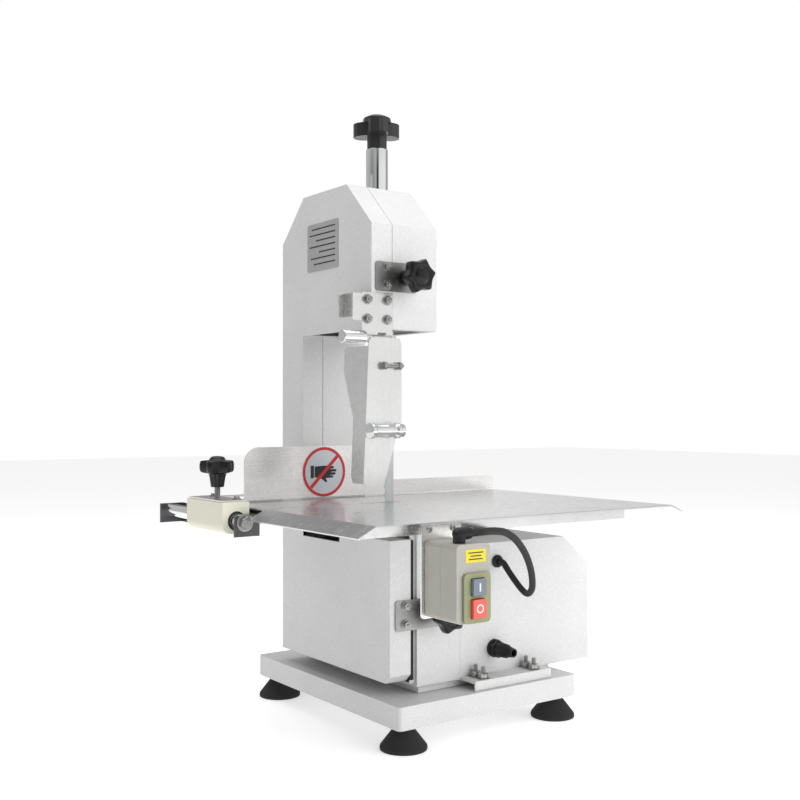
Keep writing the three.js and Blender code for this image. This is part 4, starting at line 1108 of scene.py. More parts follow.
@dataclass
class Casings:
    """The painted sheet casings and the parts fixed to them."""

    # The seal's black strip sits in the door gap and also paints the gap's shade.
    seal_and_gap_shade_inset: tuple[float, float] = (1.6, 4.8)
    seal_and_gap_shade_depth: float = 5.0
    flange_bolts: tuple[Point2, ...] = ((138.0, -50.0), (138.0, -66.0), (230.0, -50.0), (230.0, -66.0))
    bolt_seat: float = 74.2

    def build(self) -> None:
        """Makes the housing, the motor cover, the casing and the doors."""
        refined("lower_housing_shell", "lower_housing", PAINT, "frame", 1.4)
        refined("motor_cover_shell", "motor_cover", PAINT, "frame", 1.6)
        refined("frame_casing_shell", "frame_casing", PAINT, "frame", 1.6)
        refined("upper_door_shell", "upper_door", PAINT, "upper_door", 1.6)
        refined("lower_door_shell", "lower_door", PAINT, "lower_door", 1.6)
        for index, (x, y) in enumerate(self.flange_bolts):
            Fasteners.hex_nut(f"flange_nut_{index}", (x, y, self.bolt_seat), Axis.Z, 1.0, 6.2, "frame",
                              8.5)
        self.build_seal_and_gap_shade()
        self.build_motor()
        self.build_grommets()

    def build_seal_and_gap_shade(self) -> None:
        """Makes the black rubber seal round the lower housing's mouth, where the door closes on it; its
        black also paints the shade of the gap between door and housing.
        """
        low, high = Bench.box("lower_housing")
        door_low, door_high = Bench.box("lower_door")
        outer, inner = self.seal_and_gap_shade_inset
        outline = [(low.y + outer, door_low.z + outer), (high.y - outer, door_low.z + outer),
                   (high.y - outer, door_high.z - outer), (low.y + outer, door_high.z - outer)]
        hole = tuple((y + (inner - outer) * (1 if y < high.y / 2 else -1),
                      z + (inner - outer) * (1 if z < door_high.z / 2 else -1)) for y, z in outline)
        front = door_high.x + 0.35
        # Black strip behind the door: a seal, and the painted shade of the gap.
        plate("door_seal_gap_shade", outline, front, front + self.seal_and_gap_shade_depth, Axis.X, RUBBER, "frame", (hole,), 0.4)

    def build_motor(self) -> None:
        """Dresses the motor and its fan."""
        refined("motor_casting", "motor_body", CAST, "frame", 1.2, 50.0)
        refined("fan_moulding", "motor_fan", BLACK_MATTE, "drive", 0.5, 40.0)
        refined("motor_spindle", "motor_shaft", STEEL, "drive", 0.5, 40.0)

    def build_grommets(self) -> None:
        """Makes the cord's grommet and the supply gland in the motor cover."""
        low, high = Bench.box("cord_grommet")
        centre = ((low.x + high.x) / 2, high.y, (low.z + high.z) / 2)
        outer = (high.x - low.x) / 2
        reach = high.y - low.y
        bore = 5.0
        profile = [(bore, 0.05), (outer, 0.05), (outer, 3.6), (outer - 2.0, 5.0), (outer - 2.2, reach),
                   (bore, reach)]
        rings = [Ring(-ring.along, ring.radius) for ring in rounded_profile(profile, 0.8)]
        piece = turned("grommet_rubber", rings, Axis.Y, centre, RUBBER, "frame", 56, closed=True)
        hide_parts("cord_grommet")
        low, high = Bench.box("power_gland")
        centre = ((low.x + high.x) / 2, high.y, (low.z + high.z) / 2)
        outer = (high.x - low.x) / 2
        reach = high.y - low.y
        rings = [Ring(-0.05, 6.2), Ring(-0.05, outer - 0.3), Ring(-1.0, outer * 0.99),
                 Ring(-5.0, outer * 0.99)]
        rings += [Ring(-5.0, outer * 0.86, hexagon=True), Ring(-12.0, outer * 0.86, hexagon=True)]
        rings += [Ring(-12.0, outer * 0.8), Ring(-16.0, outer * 0.8, 18, 0.7),
                  Ring(-28.0, outer * 0.76, 18, 0.7)]
        rings += [Ring(-31.0, outer * 0.62), Ring(-reach, outer * 0.48), Ring(-reach, 4.4),
                  Ring(-5.0, 4.4)]
        piece = turned("supply_gland", rings, Axis.Y, centre, BLACK_MATTE, "frame", 72, closed=True,
                       sharp=35.0)
        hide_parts("power_gland")


@dataclass
class WorkTable:
    """The polished table with its bent edges, its frame and the fence rail under it."""

    web_reach: float = 24.0
    web_drop: float = 11.4
    web_sheet: float = 1.2
    nut_seat: float = 0.35
    steps: int = 12

    def build(self) -> None:
        """Makes the table sheet, its frame, the rail, its bracket and the fittings at the rail's near
        end.
        """
        self.build_sheet()
        refined("table_frame_bars", "table_frame", PAINT, "frame", 0.8)
        refined("rail_bracket_sheet", "rail_bracket", DARK_STEEL, "frame", 0.6)
        self.build_rail()

    def build_sheet(self) -> None:
        """Makes the table sheet from the CAD node, its bends and rims rounded."""
        refined("table_sheet", "table_top", TABLE_STEEL, "frame", 0.55, 12.0)
        self.build_corner_web()

    def build_corner_web(self) -> None:
        """Makes the welded web that closes the near corner of the left lip with an S-shaped edge."""
        low, high = Bench.box("table_top")
        edge = [(low.x + 0.6 + self.web_reach * step / self.steps, step / self.steps)
                for step in range(self.steps + 1)]
        foot = high.z - 1.0 - self.web_drop
        outline = [(x, foot + 0.5 + (self.web_drop - 0.5) * t * t * (3 - 2 * t)) for x, t in edge]
        outline += [(low.x + 0.6 + self.web_reach, foot - 0.4), (low.x + 6.0, foot - 0.4),
                    (low.x + 0.6, foot)]
        plate("corner_web", outline, low.y + 0.05, low.y + self.web_sheet, Axis.Y, TABLE_STEEL, "frame",
              (), 0.2)

    def build_rail(self) -> None:
        """Makes the chromed rail with the nut and washer at its near end."""
        low, high = Bench.box("rail_rod")
        centre = ((low.x + high.x) / 2, 0.0, (low.z + high.z) / 2)
        radius = (high.x - low.x) / 2
        rings = rounded_profile([(0.0, low.y), (radius, low.y), (radius, high.y), (0.0, high.y)], 1.0, 4)
        piece = turned("rail_bar", rings, Axis.Y, centre, CHROME, "frame", 72)
        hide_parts("rail_rod")
        sheet_low, _ = Bench.box("rail_bracket")
        self.build_rail_nut(centre, sheet_low.y + self.nut_seat)

    @staticmethod
    def build_rail_nut(centre: tuple[float, float, float], near: float) -> None:
        """Makes the nut and the washer at the rail's near end.

        Args:
            centre: A bench point on the rail's axis.
            near: Place of the bracket's near face along Y.
        """
        x, _, z = centre
        rings = rounded_profile([(4.0, near - 0.4), (11.5, near - 0.4), (11.5, near - 1.8),
                                 (4.0, near - 1.8)], 0.3)
        turned("rail_washer", rings, Axis.Y, (x, 0.0, z), FASTENER, "frame", 48, closed=True)
        nut = near - 1.9
        rings = [Ring(nut, 0.0), Ring(nut, 7.4), Ring(nut - 0.6, 7.5, hexagon=True),
                 Ring(nut - 6.0, 7.5, hexagon=True),
                 Ring(nut - 6.8, 7.3), Ring(nut - 6.8, 0.0)]
        turned("rail_nut", rings, Axis.Y, (x, 0.0, z), FASTENER, "frame", 48, sharp=30.0)


@dataclass
class Fence:
    """The sliding fence with its block, clamp knob and warning disc."""

    face_y: float = 130.0
    disc: tuple[float, float] = (6.0, 349.0)
    disc_radius: float = 36.0
    screw_inset: float = 20.0
    screw_offset: float = 10.0
    screw_rise: float = 2.4

    def build(self) -> None:
        """Makes the block, the fence plate, the knob and the disc."""
        refined("block_nylon", "slide_block", NYLON, "fence_carriage", 0.9)
        refined("fence_sheet", "fence_plate", SATIN_STEEL, "fence_carriage", 0.35)
        self.build_block_fittings()
        Knobs.clamp()
        self.build_disc()

    def build_block_fittings(self) -> None:
        """Makes a black ring round the rod at the block's face, painted shade of the bore's mouth, and
        the screws on the block's top plate.
        """
        low, high = Bench.box("slide_block")
        rod_low, rod_high = Bench.box("rail_rod")
        x = (rod_low.x + rod_high.x) / 2
        z = (rod_low.z + rod_high.z) / 2
        # Black ring at the bore's mouth: painted shade where the rod enters the block.
        profile = [(9.6, 0.0), (12.6, 0.0), (12.6, -0.35), (9.6, -0.35)]
        rings = [Ring(low.y - 0.05 + r.along, r.radius) for r in rounded_profile(profile, 0.1)]
        turned("rod_bore_shade_ring", rings, Axis.Y, (x, 0.0, z), MARK_BLACK, "fence_carriage", 48, closed=True)
        for index, y in enumerate((low.y + self.screw_inset, high.y - self.screw_inset)):
            spot = (x + self.screw_offset, y, high.z + self.screw_rise)
            Fasteners.pan_screw(f"block_screw_{index}", spot, Axis.Z, 1.0, 4.0,
                                "fence_carriage", 2.8)

    def build_disc(self) -> None:
        """Makes the round no-hands sign as thin layers on the fence face."""
        u, v = self.disc
        face = self.face_y
        body = "fence_carriage"
        sides = 72
        inner = self.disc_radius * 0.87
        plate("sign_backing", circle(u, v, self.disc_radius, sides), face - 0.30, face - 0.02, Axis.Y,
              DISC_SILVER, body, edge=0.0)
        plate("sign_ring", circle(u, v, self.disc_radius - 0.6, sides), face - 0.42, face - 0.31, Axis.Y,
              MARK_RED, body, (circle(u, v, inner, sides),), 0.0)
        self.build_palm(u, v, face, body)
        half = self.disc_radius * 0.07
        along = Vector((1.0, 1.0)).normalized()
        across = Vector((-1.0, 1.0)).normalized()
        middle = Vector((u, v))
        corners = [middle + along * inner * s + across * half * t
                   for s, t in ((-0.99, -1), (0.99, -1), (0.99, 1), (-0.99, 1))]
        plate("sign_bar", [tuple(c) for c in corners], face - 0.56, face - 0.46, Axis.Y, MARK_RED, body,
              (), 0.0)

    @staticmethod
    def build_palm(u: float, v: float, face: float, body: str) -> None:
        """Makes a generic hand that reaches to the right, with its cuff.

        Args:
            u: Middle of the sign along X.
            v: Middle of the sign along Z.
            face: Place of the fence face.
            body: The body that it moves with.
        """
        palm = rounded([(-16.0, 8.0), (-16.0, -7.0), (-4.0, -10.0), (3.0, -15.5), (5.6, -13.6),
                        (1.5, -9.0),
                        (15.0, -8.6), (15.0, -5.4), (4.0, -5.2), (19.0, -4.4), (19.0, -1.0), (4.0, -0.9),
                        (20.5, 0.2), (20.5, 3.6), (4.0, 3.5), (16.5, 4.8), (16.0, 8.0), (0.0, 9.0)], 1.2,
                       3)
        cuff = rounded([(-22.5, -8.5), (-17.0, -8.5), (-17.0, 9.5), (-22.5, 9.5)], 0.8, 3)
        for name, shape in (("sign_palm", palm), ("sign_cuff", cuff)):
            outline = [(u + a, v + b) for a, b in shape]
            plate(name, outline, face - 0.42, face - 0.32, Axis.Y, MARK_BLACK, body, (), 0.0)


class Knobs:
    """The moulded star knobs."""

    @staticmethod
    def star(name: str, node: str, body: str, axis: Axis, centre: tuple[float, float, float],
             profile: Sequence,
             sides: int = 120, turn: float = 0.0, pointed: float = 2.0) -> None:
        """Makes a knob from rings of radius, place, lobes and depth.

        Args:
            name: The piece's name.
            node: The CAD node that it stands for.
            body: The body that it moves with.
            axis: Its axis.
            centre: A bench point on its axis.
            profile: Its rings as (place, radius, lobes, depth).
            sides: Number of sides.
            turn: Angle by which it is turned.
            pointed: Smaller values give sharper lobes.
        """
        rings = [Ring(w, r, lobes, depth, False, pointed) for w, r, lobes, depth in profile]
        piece = turned(name, rings, axis, centre, BLACK_GLOSS, body, sides, turn, sharp=65.0)
        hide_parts(node)

    @classmethod
    def latch(cls, name: str, node: str, body: str, x: float, z: float, front: float,
              back: float) -> None:
        """Makes a six-lobed door knob with a round cap on its face.

        Args:
            name: The piece's name.
            node: The CAD node that it stands for.
            body: The body that it moves with.
            x: Its axis along X.
            z: Its axis along Z.
            front: Its front along Y.
            back: Its back end along Y.
        """
        f, b = front, back
        profile = [(b, 0.0, 0, 0), (b, 9.6, 0, 0), (b - 1.0, 10.6, 0, 0), (f + 24.0, 11.0, 0, 0),
                   (f + 22.2, 12.0, 0, 0), (f + 21.4, 15.5, 6, 0.6), (f + 20.9, 20.0, 6, 2.8),
                   (f + 20.0, 22.8, 6, 4.4), (f + 18.4, 23.8, 6, 4.9), (f + 15.5, 24.0, 6, 5.0),
                   (f + 8.5, 24.0, 6, 5.0), (f + 6.0, 23.4, 6, 4.8), (f + 4.6, 21.8, 6, 4.0),
                   (f + 3.6, 18.4, 6, 2.2), (f + 3.3, 15.2, 6, 0.4), (f + 4.0, 14.0, 0, 0),
                   (f + 4.4, 12.6, 0, 0),
                   (f + 3.6, 11.2, 0, 0), (f + 2.0, 9.0, 0, 0), (f + 0.8, 6.0, 0, 0),
                   (f + 0.1, 0.0, 0, 0)]
        cls.star(name, node, body, Axis.Y, (x, 0.0, z), profile, turn=12.0, pointed=1.15)

    @classmethod
    def clamp(cls) -> None:
        """Makes the fence's five-lobed clamp knob with its ribbed stem."""
        low, high = Bench.box("clamp_knob")
        rod_low, rod_high = Bench.box("rail_rod")
        x = (rod_low.x + rod_high.x) / 2
        y = Bench.box("slide_block")[0].y + CLAMP_ON_BLOCK
        top = high.z
        star = 23.8
        profile = [(top - 41.0, 0.0, 0, 0), (top - 41.0, 8.0, 0, 0), (top - 40.2, 8.8, 10, 0.6),
                   (top - 36.0, 9.4, 10, 1.3), (top - 28.0, 10.6, 10, 1.5), (top - 24.0, 11.6, 10, 1.1),
                   (top - 22.8, 14.0, 5, 1.0), (top - 22.4, 18.0, 5, 4.0), (top - 21.2, 22.0, 5, 6.8),
                   (top - 19.2, star - 0.5, 5, 8.0), (top - 16.5, star, 5, 8.4),
                   (top - 11.0, star, 5, 8.4),
                   (top - 8.2, star - 0.7, 5, 8.0), (top - 6.6, 22.2, 5, 7.0), (top - 5.9, 18.0, 5, 4.2),
                   (top - 5.6, 13.4, 5, 1.2), (top - 5.2, 11.0, 0, 0), (top - 3.2, 10.2, 0, 0),
                   (top - 1.2, 8.0, 0, 0), (top - 0.3, 4.6, 0, 0), (top - 0.05, 0.0, 0, 0)]
        cls.star("clamp_star", "clamp_knob", "fence_clamp", Axis.Z, (x, y, 0.0), profile, turn=0.0)
        start = low.z + 0.05
        Fasteners.thread("clamp_stud", (x, y, 0.0), Axis.Z, 1.0, 4.0, start, top - 40.0, "fence_clamp")

    @classmethod
    def tension(cls) -> None:
        """Makes the three-lobed tension knob on the top."""
        low, _ = Bench.box("tension_knob")
        tube_low, tube_high = Bench.box("tension_tube")
        x = (tube_low.x + tube_high.x) / 2
        y = (tube_low.y + tube_high.y) / 2
        base = low.z
        wing = 37.4
        profile = [(base, 0.0, 0, 0), (base, 13.2, 0, 0), (base + 0.8, 14.2, 0, 0),
                   (base + 16.0, 14.6, 0, 0),
                   (base + 19.5, 16.4, 3, 1.5), (base + 20.8, 22.0, 3, 7.5), (base + 21.4, 30.0, 3, 14.5),
                   (base + 22.8, 35.2, 3, 19.0), (base + 25.4, wing, 3, 20.8),
                   (base + 33.0, wing, 3, 20.8),
                   (base + 36.6, 36.0, 3, 19.6), (base + 38.8, 31.5, 3, 16.0),
                   (base + 39.8, 24.0, 3, 9.0),
                   (base + 40.2, 17.4, 3, 2.2), (base + 40.6, 14.6, 0, 0), (base + 48.0, 14.2, 0, 0),
                   (base + 50.2, 12.8, 0, 0), (base + 50.95, 9.0, 0, 0), (base + 50.95, 0.0, 0, 0)]
        cls.star("tension_wings", "tension_knob", "tension_handwheel", Axis.Z, (x, y, 0.0), profile, 144,
                 35.0)


@dataclass
class Blade:
    """The toothed band over its two wheels, with the wheels and the tension gear."""

    front: float = 37.85
    back: float = 53.35
    near: float = 24.8
    far: float = 216.2
    thick: float = 0.8
    low_z: float = 176.0
    high_z: float = 648.0
    pitch: float = 6.0
    gullet: float = 2.6

    def build(self) -> None:
        """Makes the band, the wheels, the guides and the tension gear."""
        self.build_band()
        refined("lower_wheel_casting", "lower_wheel", CAST, "drive", 0.5, 40.0)
        refined("upper_wheel_casting", "upper_wheel", CAST, "upper_wheel", 0.5, 40.0)
        refined("upper_spindle", "upper_shaft", STEEL, "wheel_carrier", 0.4, 40.0)
        refined("carrier_block", "wheel_slider", CAST, "wheel_carrier", 0.6)
        refined("carrier_guide", "slider_guide", STEEL, "frame", 0.5)
        refined("pressure_spring", "tension_spring", STEEL, "wheel_carrier", 0.15, 40.0)
        refined("upper_guide_block", "upper_blade_guide", NYLON, "frame", 0.5)
        refined("lower_guide_block", "lower_blade_guide", NYLON, "frame", 0.5)
        refined("residue_pan", "residue_tray", GUARD_STEEL, "frame", 0.4)
        self.build_tube()

    def path(self) -> list[tuple[float, float, float, float]]:
        """Gives the band's middle line.

        Returns:
            Places as y, z and the outward direction's y and z.
        """
        middle = (self.near + self.far) / 2
        radius = (self.far - self.near) / 2
        straight = self.high_z - self.low_z
        total = 2 * straight + 2 * math.pi * radius
        count = 4 * round(total / (4 * self.pitch))
        places = []
        for index in range(count):
            s = total * index / count
            if s < straight:
                places.append((self.near, self.low_z + s, -1.0, 0.0))
                continue
            s -= straight
            if s < math.pi * radius:
                a = math.pi - s / radius
                places.append((middle + radius * math.cos(a), self.high_z + radius * math.sin(a),
                               math.cos(a), math.sin(a)))
                continue
            s -= math.pi * radius
            if s < straight:
                places.append((self.far, self.high_z - s, 1.0, 0.0))
                continue
            a = -(s - straight) / radius
            places.append((middle + radius * math.cos(a), self.low_z + radius * math.sin(a),
                           math.cos(a), math.sin(a)))
        return places

    def build_band(self) -> None:
        """Makes the band with its teeth."""
        bm = bmesh.new()
        loops = []
        half = self.thick / 2
        for index, (y, z, dy, dz) in enumerate(self.path()):
            tooth = self.front + 0.05 if index % 2 == 0 else self.front + self.gullet
            corners = ((tooth, -half), (self.back, -half), (self.back, half), (tooth, half))
            loops.append([bm.verts.new(Bench.at(x, y + dy * off, z + dz * off)) for x, off in corners])
        for one, two in zip(loops, loops[1:] + loops[:1]):
            for side in range(4):
                after = (side + 1) % 4
                bm.faces.new((one[side], one[after], two[after], two[side]))
        piece = dress("toothed_band", mesh_from("toothed_band", bm), BLADE_STEEL, "frame", 30.0, False)
        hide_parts("saw_blade")

    @staticmethod
    def build_tube() -> None:
        """Makes the chromed tension tube and its screw."""
        low, high = Bench.box("tension_tube")
        x = (low.x + high.x) / 2
        y = (low.y + high.y) / 2
        radius = (high.x - low.x) / 2
        profile = [(9.0, low.z), (radius, low.z), (radius, high.z), (9.0, high.z)]
        rings = rounded_profile(profile, 0.8, 3)
        piece = turned("tension_sleeve", rings, Axis.Z, (x, y, 0.0), CHROME, "frame", 96, closed=True,
                       sharp=65.0)
        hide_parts("tension_tube")
        low, high = Bench.box("tension_screw")
        radius = (high.x - low.x) / 2
        piece = Fasteners.thread("tension_thread", (x, y, 0.0), Axis.Z, 1.0, radius, low.z, high.z,
                                 "tension_handwheel", 1.75, STEEL)
        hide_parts("tension_screw")


@dataclass
class Doors:
    """The fittings on the two doors: latches, hinges and name plate."""

    def build(self) -> None:
        """Makes the latches, the hinges and the name plate."""
        self.build_latches()
        for which, door in (("upper", "upper_door"), ("lower", "lower_door")):
            refined(f"{which}_door_leaf", f"{which}_hinge_door_leaf", SATIN_STEEL, door, 0.3, 40.0)
            refined(f"{which}_frame_leaf", f"{which}_hinge_frame_leaf", SATIN_STEEL, "frame", 0.3, 40.0)
            refined(f"{which}_hinge_rod", f"{which}_hinge_pin", STEEL, "frame", 0.4, 40.0)
        self.build_name_plate()

    @staticmethod
    def build_latches() -> None:
        """Makes the latch plates, their screws and the star knobs."""
        refined("upper_latch_sheet", "upper_latch_plate", PLATE_STEEL, "upper_door", 0.35)
        refined("lower_latch_sheet", "lower_latch_plate", PLATE_STEEL, "lower_door", 0.35)
        for which, body, door, x, z in (("upper", "upper_latch", "upper_door", 55.0, 617.0),
                                        ("lower", "lower_latch", "lower_door", 73.0, 168.0)):
            low, high = Bench.box(f"{which}_latch_knob")
            Knobs.latch(f"{which}_latch_star", f"{which}_latch_knob", body, x, z, low.y, high.y)
            sheet_low, _ = Bench.box(f"{which}_latch_plate")
            for index, rise in enumerate((-11.5, 12.5)):
                Fasteners.hex_nut(f"{which}_latch_bolt_{index}", (24.0, sheet_low.y, z + rise), Axis.Y,
                                  -1.0, 4.6, door, 1.6)

    @staticmethod
    def build_name_plate() -> None:
        """Makes the blank rating plate on the upper door and its blank lines."""
        outline = rounded([(82.0, 637.0), (166.0, 637.0), (166.0, 706.0), (82.0, 706.0)], 3.0, 4)
        plate("rating_plate", outline, -0.75, -0.05, Axis.X, PLATE_SILVER, "upper_door", (), 0.15)
        for index in range(7):
            v = 698.0 - index * 8.4
            width = (64.0, 70.0, 52.0, 70.0, 44.0, 66.0, 58.0)[index]
            lines = [(90.0, v - 1.0), (90.0 + width, v - 1.0), (90.0 + width, v + 1.0), (90.0, v + 1.0)]
            plate(f"rating_line_{index}", lines, -0.86, -0.78, Axis.X, MARK_BLACK, "upper_door", (), 0.0)


@dataclass
class Guard:
    """The swinging blade guard with its bracket, handle and stop bolt."""

    barrel_round: float = 1.6
    waist_depth: float = 2.0

    def build(self) -> None:
        """Makes the bracket, the shield, the barrel and the handle."""
        refined("guard_bracket_sheet", "guard_bracket", GUARD_STEEL, "upper_door", 0.35)
        refined("guard_sheet", "guard_shield", GUARD_STEEL, "guard", 0.45)
        refined("guard_pin_rod", "guard_pin", STEEL, "guard", 0.3, 40.0)
        self.build_rods()
        for index, (x, z) in enumerate(((-8.0, 558.5), (-8.0, 584.5), (24.0, 558.5), (24.0, 584.5))):
            Fasteners.hex_nut(f"bracket_bolt_{index}", (x, -2.3, z), Axis.Y, -1.0, 4.6, "upper_door", 1.8)
        self.build_stop()

    @staticmethod
    def build_stop() -> None:
        """Makes the bolt that stands across the guard's face, with its nut."""
        y, z = -19.2, 496.0
        rings = [Ring(6.0, 0.0), Ring(6.0, 4.5, hexagon=True), Ring(11.5, 4.5, hexagon=True),
                 Ring(11.5, 0.0)]
        turned("stop_head", rings, Axis.X, (0.0, y, z), FASTENER, "guard", 36, sharp=30.0)
        rings = [Ring(30.5, 0.0), Ring(30.5, 4.5, hexagon=True), Ring(35.0, 4.5, hexagon=True),
                 Ring(35.0, 0.0)]
        turned("stop_nut", rings, Axis.X, (0.0, y, z), FASTENER, "guard", 36, sharp=30.0)
        Fasteners.thread("stop_bolt", (0.0, y, z), Axis.X, 1.0, 3.0, 11.0, 38.5, "guard")

    def build_rods(self) -> None:
        """Makes the chromed barrel and the chromed handle with its two collars."""
        low, high, centre, radius = self.rod("guard_barrel")
        profile = [(0.0, low), (radius, low), (radius, high), (0.0, high)]
        piece = turned("barrel_chrome", rounded_profile(profile, self.barrel_round, 5), Axis.X, centre,
                       CHROME,
                       "guard", 96, sharp=65.0)
        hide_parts("guard_barrel")
        low, high, centre, radius = self.rod("guard_handle")
        waist = radius - self.waist_depth
        profile = [(0.0, low), (radius, low), (radius, low + 5.5), (waist, low + 7.5),
                   (waist + 0.8, (low + high) / 2), (waist, high - 14.0), (radius, high - 12.0),
                   (radius, high - 7.0), (radius - 1.4, high - 6.0), (radius - 1.6, high), (0.0, high)]
        piece = turned("handle_chrome", rounded_profile(profile, 1.2, 4), Axis.X, centre, CHROME, "guard",
                       96,
                       sharp=65.0)
        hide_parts("guard_handle")

    @staticmethod
    def rod(node: str) -> tuple[float, float, tuple[float, float, float], float]:
        """Gives a rod's two ends along X, its axis and its radius.

        Args:
            node: Its CAD node.

        Returns:
            The near end, the far end, a bench point on its axis and its radius.
        """
        low, high = Bench.box(node)
        return low.x, high.x, (0.0, (low.y + high.y) / 2, (low.z + high.z) / 2), (high.z - low.z) / 2


@dataclass
class Switch:
    """The switch box on its bracket, with the buttons and marks."""

    screw_inset: float = 7.0
    label_size: tuple[float, float] = (28.0, 14.0)
    label_drop: float = 13.0
    mark_relief: float = 0.14

    def build(self) -> None:
        """Makes the box, the buttons, the marks and the gland."""
        refined("switch_bracket_sheet", "switch_bracket", SATIN_STEEL, "frame", 0.4)
        refined("switch_base_box", "switch_base", GREY_BOX, "frame", 0.7)
        refined("switch_lid_box", "switch_lid", GREY_BOX, "frame", 1.8)
        refined("switch_bezel_frame", "switch_bezel", OLIVE, "frame", 0.8)
        self.build_push("on_push", "on_button", SLATE)
        self.build_push("off_push", "off_button", RED)
        refined("switch_gland_body", "switch_gland", BLACK_MATTE, "frame", 0.5, 40.0)
        self.build_label()
        self.build_marks()
        low, high = Bench.box("switch_base")
        sheet_low, sheet_high = Bench.box("switch_bracket")
        z = (high.z + sheet_high.z) / 2 + 3.0
        for index, x in enumerate((low.x + self.screw_inset, high.x - self.screw_inset)):
            Fasteners.pan_screw(f"switch_screw_{index}", (x, sheet_low.y, z), Axis.Y, -1.0, 3.4, "frame",
                                2.2,
                                False)

    def build_push(self, name: str, node: str, finish: Finish) -> None:
        """Makes a push button whose face lies behind its raised mark.

        Args:
            name: The piece's name.
            node: Its CAD node and its body.
            finish: Its finish.
        """
        low, high = Bench.box(node)
        outline = rounded([(low.x, low.z), (high.x, low.z), (high.x, high.z), (low.x, high.z)], 1.6, 4)
        piece = plate(name, outline, low.y + self.mark_relief, high.y, Axis.Y, finish, node, (), 0.9)
        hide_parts(node)

    def build_label(self) -> None:
        """Makes the yellow label with three blank lines."""
        low, high = Bench.box("switch_lid")
        middle = (low.x + high.x) / 2 + 3.0
        half, tall = self.label_size[0] / 2, self.label_size[1]
        top = high.z - self.label_drop + tall / 2
        label = rounded([(middle - half, top - tall), (middle + half, top - tall), (middle + half, top),
                         (middle - half, top)], 1.0, 3)
        front = low.y
        plate("switch_label", label, front - 0.25, front - 0.02, Axis.Y, LABEL_YELLOW, "frame", (), 0.0)
        for index, width in enumerate((10.5, 7.5, 9.5)):
            v = top - tall * (index + 1) / 4
            bar = [(middle - width, v - 0.6), (middle + width, v - 0.6), (middle + width, v + 0.6),
                   (middle - width, v + 0.6)]
            plate(f"label_line_{index}", bar, front - 0.36, front - 0.27, Axis.Y, MARK_BLACK, "frame", (),
                  0.0)

    def build_marks(self) -> None:
        """Makes the bar mark and the ring mark on the buttons."""
        low, high = Bench.box("on_button")
        middle, v = (low.x + high.x) / 2, (low.z + high.z) / 2
        bar = rounded([(middle - 1.0, v - 4.5), (middle + 1.0, v - 4.5), (middle + 1.0, v + 4.5),
                       (middle - 1.0, v + 4.5)], 0.4, 2)
        plate("on_mark", bar, low.y + 0.01, low.y + 0.12, Axis.Y, MARK_WHITE, "on_button", (), 0.0)
        low, high = Bench.box("off_button")
        middle, v = (low.x + high.x) / 2, (low.z + high.z) / 2
        plate("off_mark", circle(middle, v, 4.8, 40), low.y + 0.01, low.y + 0.12, Axis.Y, MARK_WHITE,
              "off_button", (circle(middle, v, 3.3, 40),), 0.0)


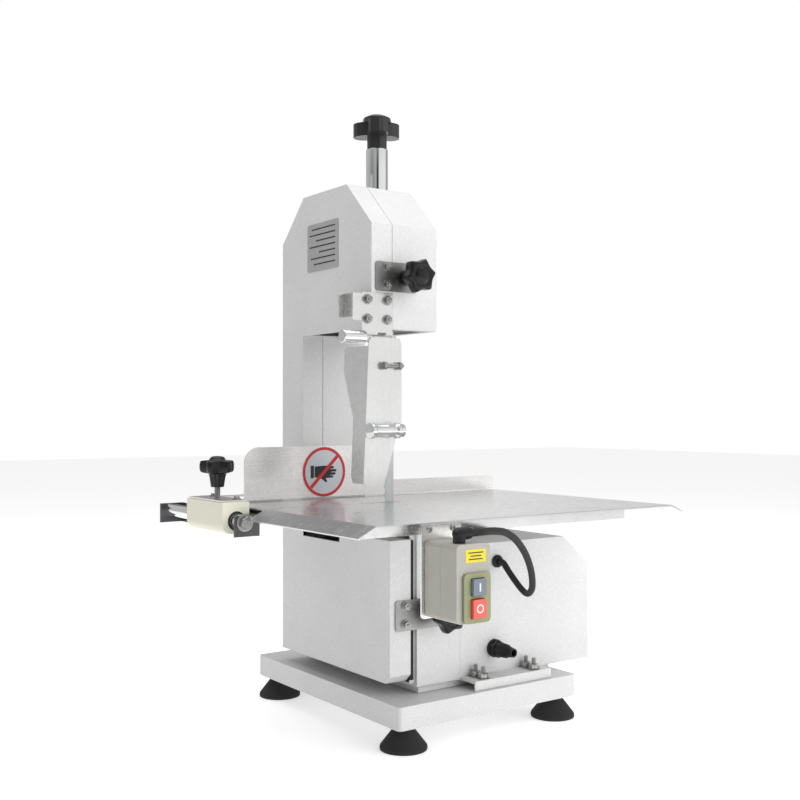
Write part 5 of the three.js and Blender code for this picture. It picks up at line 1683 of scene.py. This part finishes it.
@dataclass
class Studio:
    """The pale floor, the soft lights and the camera."""

    eye: tuple[float, float, float] = (-801.0, -1191.0, 432.0)
    yaw: float = 35.45
    pitch: float = 0.74
    lens: float = 48.465

    def build_camera(self) -> None:
        """Places the camera."""
        data = bpy.data.cameras.new("view")
        data.lens = self.lens
        data.sensor_width = 36.0
        data.clip_end = 40.0
        camera = bpy.data.objects.new("view", data)
        bpy.context.scene.collection.objects.link(camera)
        camera.location = Bench.at(*self.eye)
        camera.rotation_euler = (math.radians(90.0 + self.pitch), 0.0, -math.radians(self.yaw))
        bpy.context.scene.camera = camera

    def build(self) -> None:
        """Makes the floor, the sky and the lights."""
        self.build_floor()
        self.build_sky()
        self.light("key", (1300.0, -1900.0, 1200.0), (2800.0, 2600.0), 40.0, False)
        self.light("left_fill", (-2000.0, 300.0, 500.0), (900.0, 1400.0), 1.0)
        self.light("top", (100.0, 200.0, 2300.0), (2400.0, 2400.0), 24.0)
        bpy.context.scene.view_settings.view_transform = "Standard"

    @staticmethod
    def build_sky() -> None:
        """Makes a sky of soft panels with dark gaps between them, plain white where it is seen."""
        world = bpy.data.worlds.new("studio")
        bpy.context.scene.world = world
        world.use_nodes = True
        hand = Graph(world.node_tree)
        background = world.node_tree.nodes["Background"]
        coords = hand.node("ShaderNodeTexCoord").outputs["Generated"]
        parts = hand.node("ShaderNodeSeparateXYZ")
        hand.feed(parts.inputs[0], coords)
        around = hand.math("ARCTAN2", parts.outputs["Y"], parts.outputs["X"])
        ramp = hand.node("ShaderNodeValToRGB")
        stops = ((0.0, 0.25), (0.13, 0.45), (0.155, 0.06), (0.195, 0.06), (0.22, 0.85), (0.42, 0.95),
                 (0.47, 0.45),
                 (0.56, 0.30), (0.59, 0.10), (0.605, 0.75), (0.645, 0.95), (0.668, 0.35), (0.70, 0.12),
                 (0.74, 0.55), (0.90, 0.45), (1.0, 0.25))
        ramp.color_ramp.elements[0].position = stops[0][0]
        ramp.color_ramp.elements[1].position = stops[-1][0]
        for place, _ in stops[1:-1]:
            ramp.color_ramp.elements.new(place)
        for element, (_, shade) in zip(ramp.color_ramp.elements, stops):
            element.color = (shade, shade, shade, 1.0)
        hand.feed(ramp.inputs[0], hand.spread(around, -math.pi, math.pi, 0.0, 1.0))
        height = hand.spread(parts.outputs["Z"], 0.25, 0.8, 0.0, 1.0)
        lit = hand.blend(height, ramp.outputs[0], (0.55, 0.55, 0.55))
        seen = hand.node("ShaderNodeLightPath").outputs["Is Camera Ray"]
        hand.feed(background.inputs["Color"], hand.blend(seen, lit, (1.0, 1.0, 1.0)))
        background.inputs["Strength"].default_value = 1.0

    @staticmethod
    def build_floor() -> None:
        """Makes a wide flat pale floor."""
        bm = bmesh.new()
        reach = 9.0
        corners = [bm.verts.new((x, y, 0.0)) for x,
                   y in ((-reach, -reach), (reach, -reach), (reach, reach),
                                                          (-reach, reach))]
        bm.faces.new(corners)
        mesh = mesh_from("floor", bm)
        floor = bpy.data.objects.new("floor", mesh)
        bpy.context.scene.collection.objects.link(floor)
        made = bpy.data.materials.new("pale_floor")
        made.use_nodes = True
        shader = next(n for n in made.node_tree.nodes if n.type == "BSDF_PRINCIPLED")
        shader.inputs["Base Color"].default_value = (0.92, 0.92, 0.92, 1.0)
        shader.inputs["Roughness"].default_value = 1.0
        shader.inputs["Specular IOR Level"].default_value = 0.0
        shader.inputs["Emission Color"].default_value = (1.0, 1.0, 1.0, 1.0)
        shader.inputs["Emission Strength"].default_value = 0.42
        mesh.materials.append(made)

    @staticmethod
    def light(name: str, spot: tuple[float, float, float], size: tuple[float, float], power: float,
              glossy: bool = True) -> None:
        """Adds a soft area light aimed at the middle of the saw.

        Args:
            name: The light's name.
            spot: Its bench point.
            size: Its width and height in millimetres.
            power: Its power in watts.
            glossy: Whether polished metal mirrors it.
        """
        data = bpy.data.lights.new(name, "AREA")
        data.shape = "RECTANGLE"
        data.size = size[0] * MM
        data.size_y = size[1] * MM
        data.energy = power
        lamp = bpy.data.objects.new(name, data)
        lamp.visible_glossy = glossy
        bpy.context.scene.collection.objects.link(lamp)
        lamp.location = Bench.at(*spot)
        aim = Bench.at(90.0, 60.0, 400.0) - lamp.location
        lamp.rotation_euler = aim.to_track_quat("-Z", "Y").to_euler()


def main() -> None:
    """Builds the camera, the cord, every sub-assembly and the studio."""
    logging.basicConfig(level=logging.INFO, format="%(message)s")
    studio = Studio()
    studio.build_camera()
    LOG.info("camera placed")
    for part in (Cable(), Base(), Casings(), WorkTable(), Blade(), Doors(), Guard(), Fence(), Switch(),
                 studio):
        part.build()
        LOG.info("built %s", type(part).__name__)
    LOG.info("sizes written")


if __name__ == "__main__":
    main()
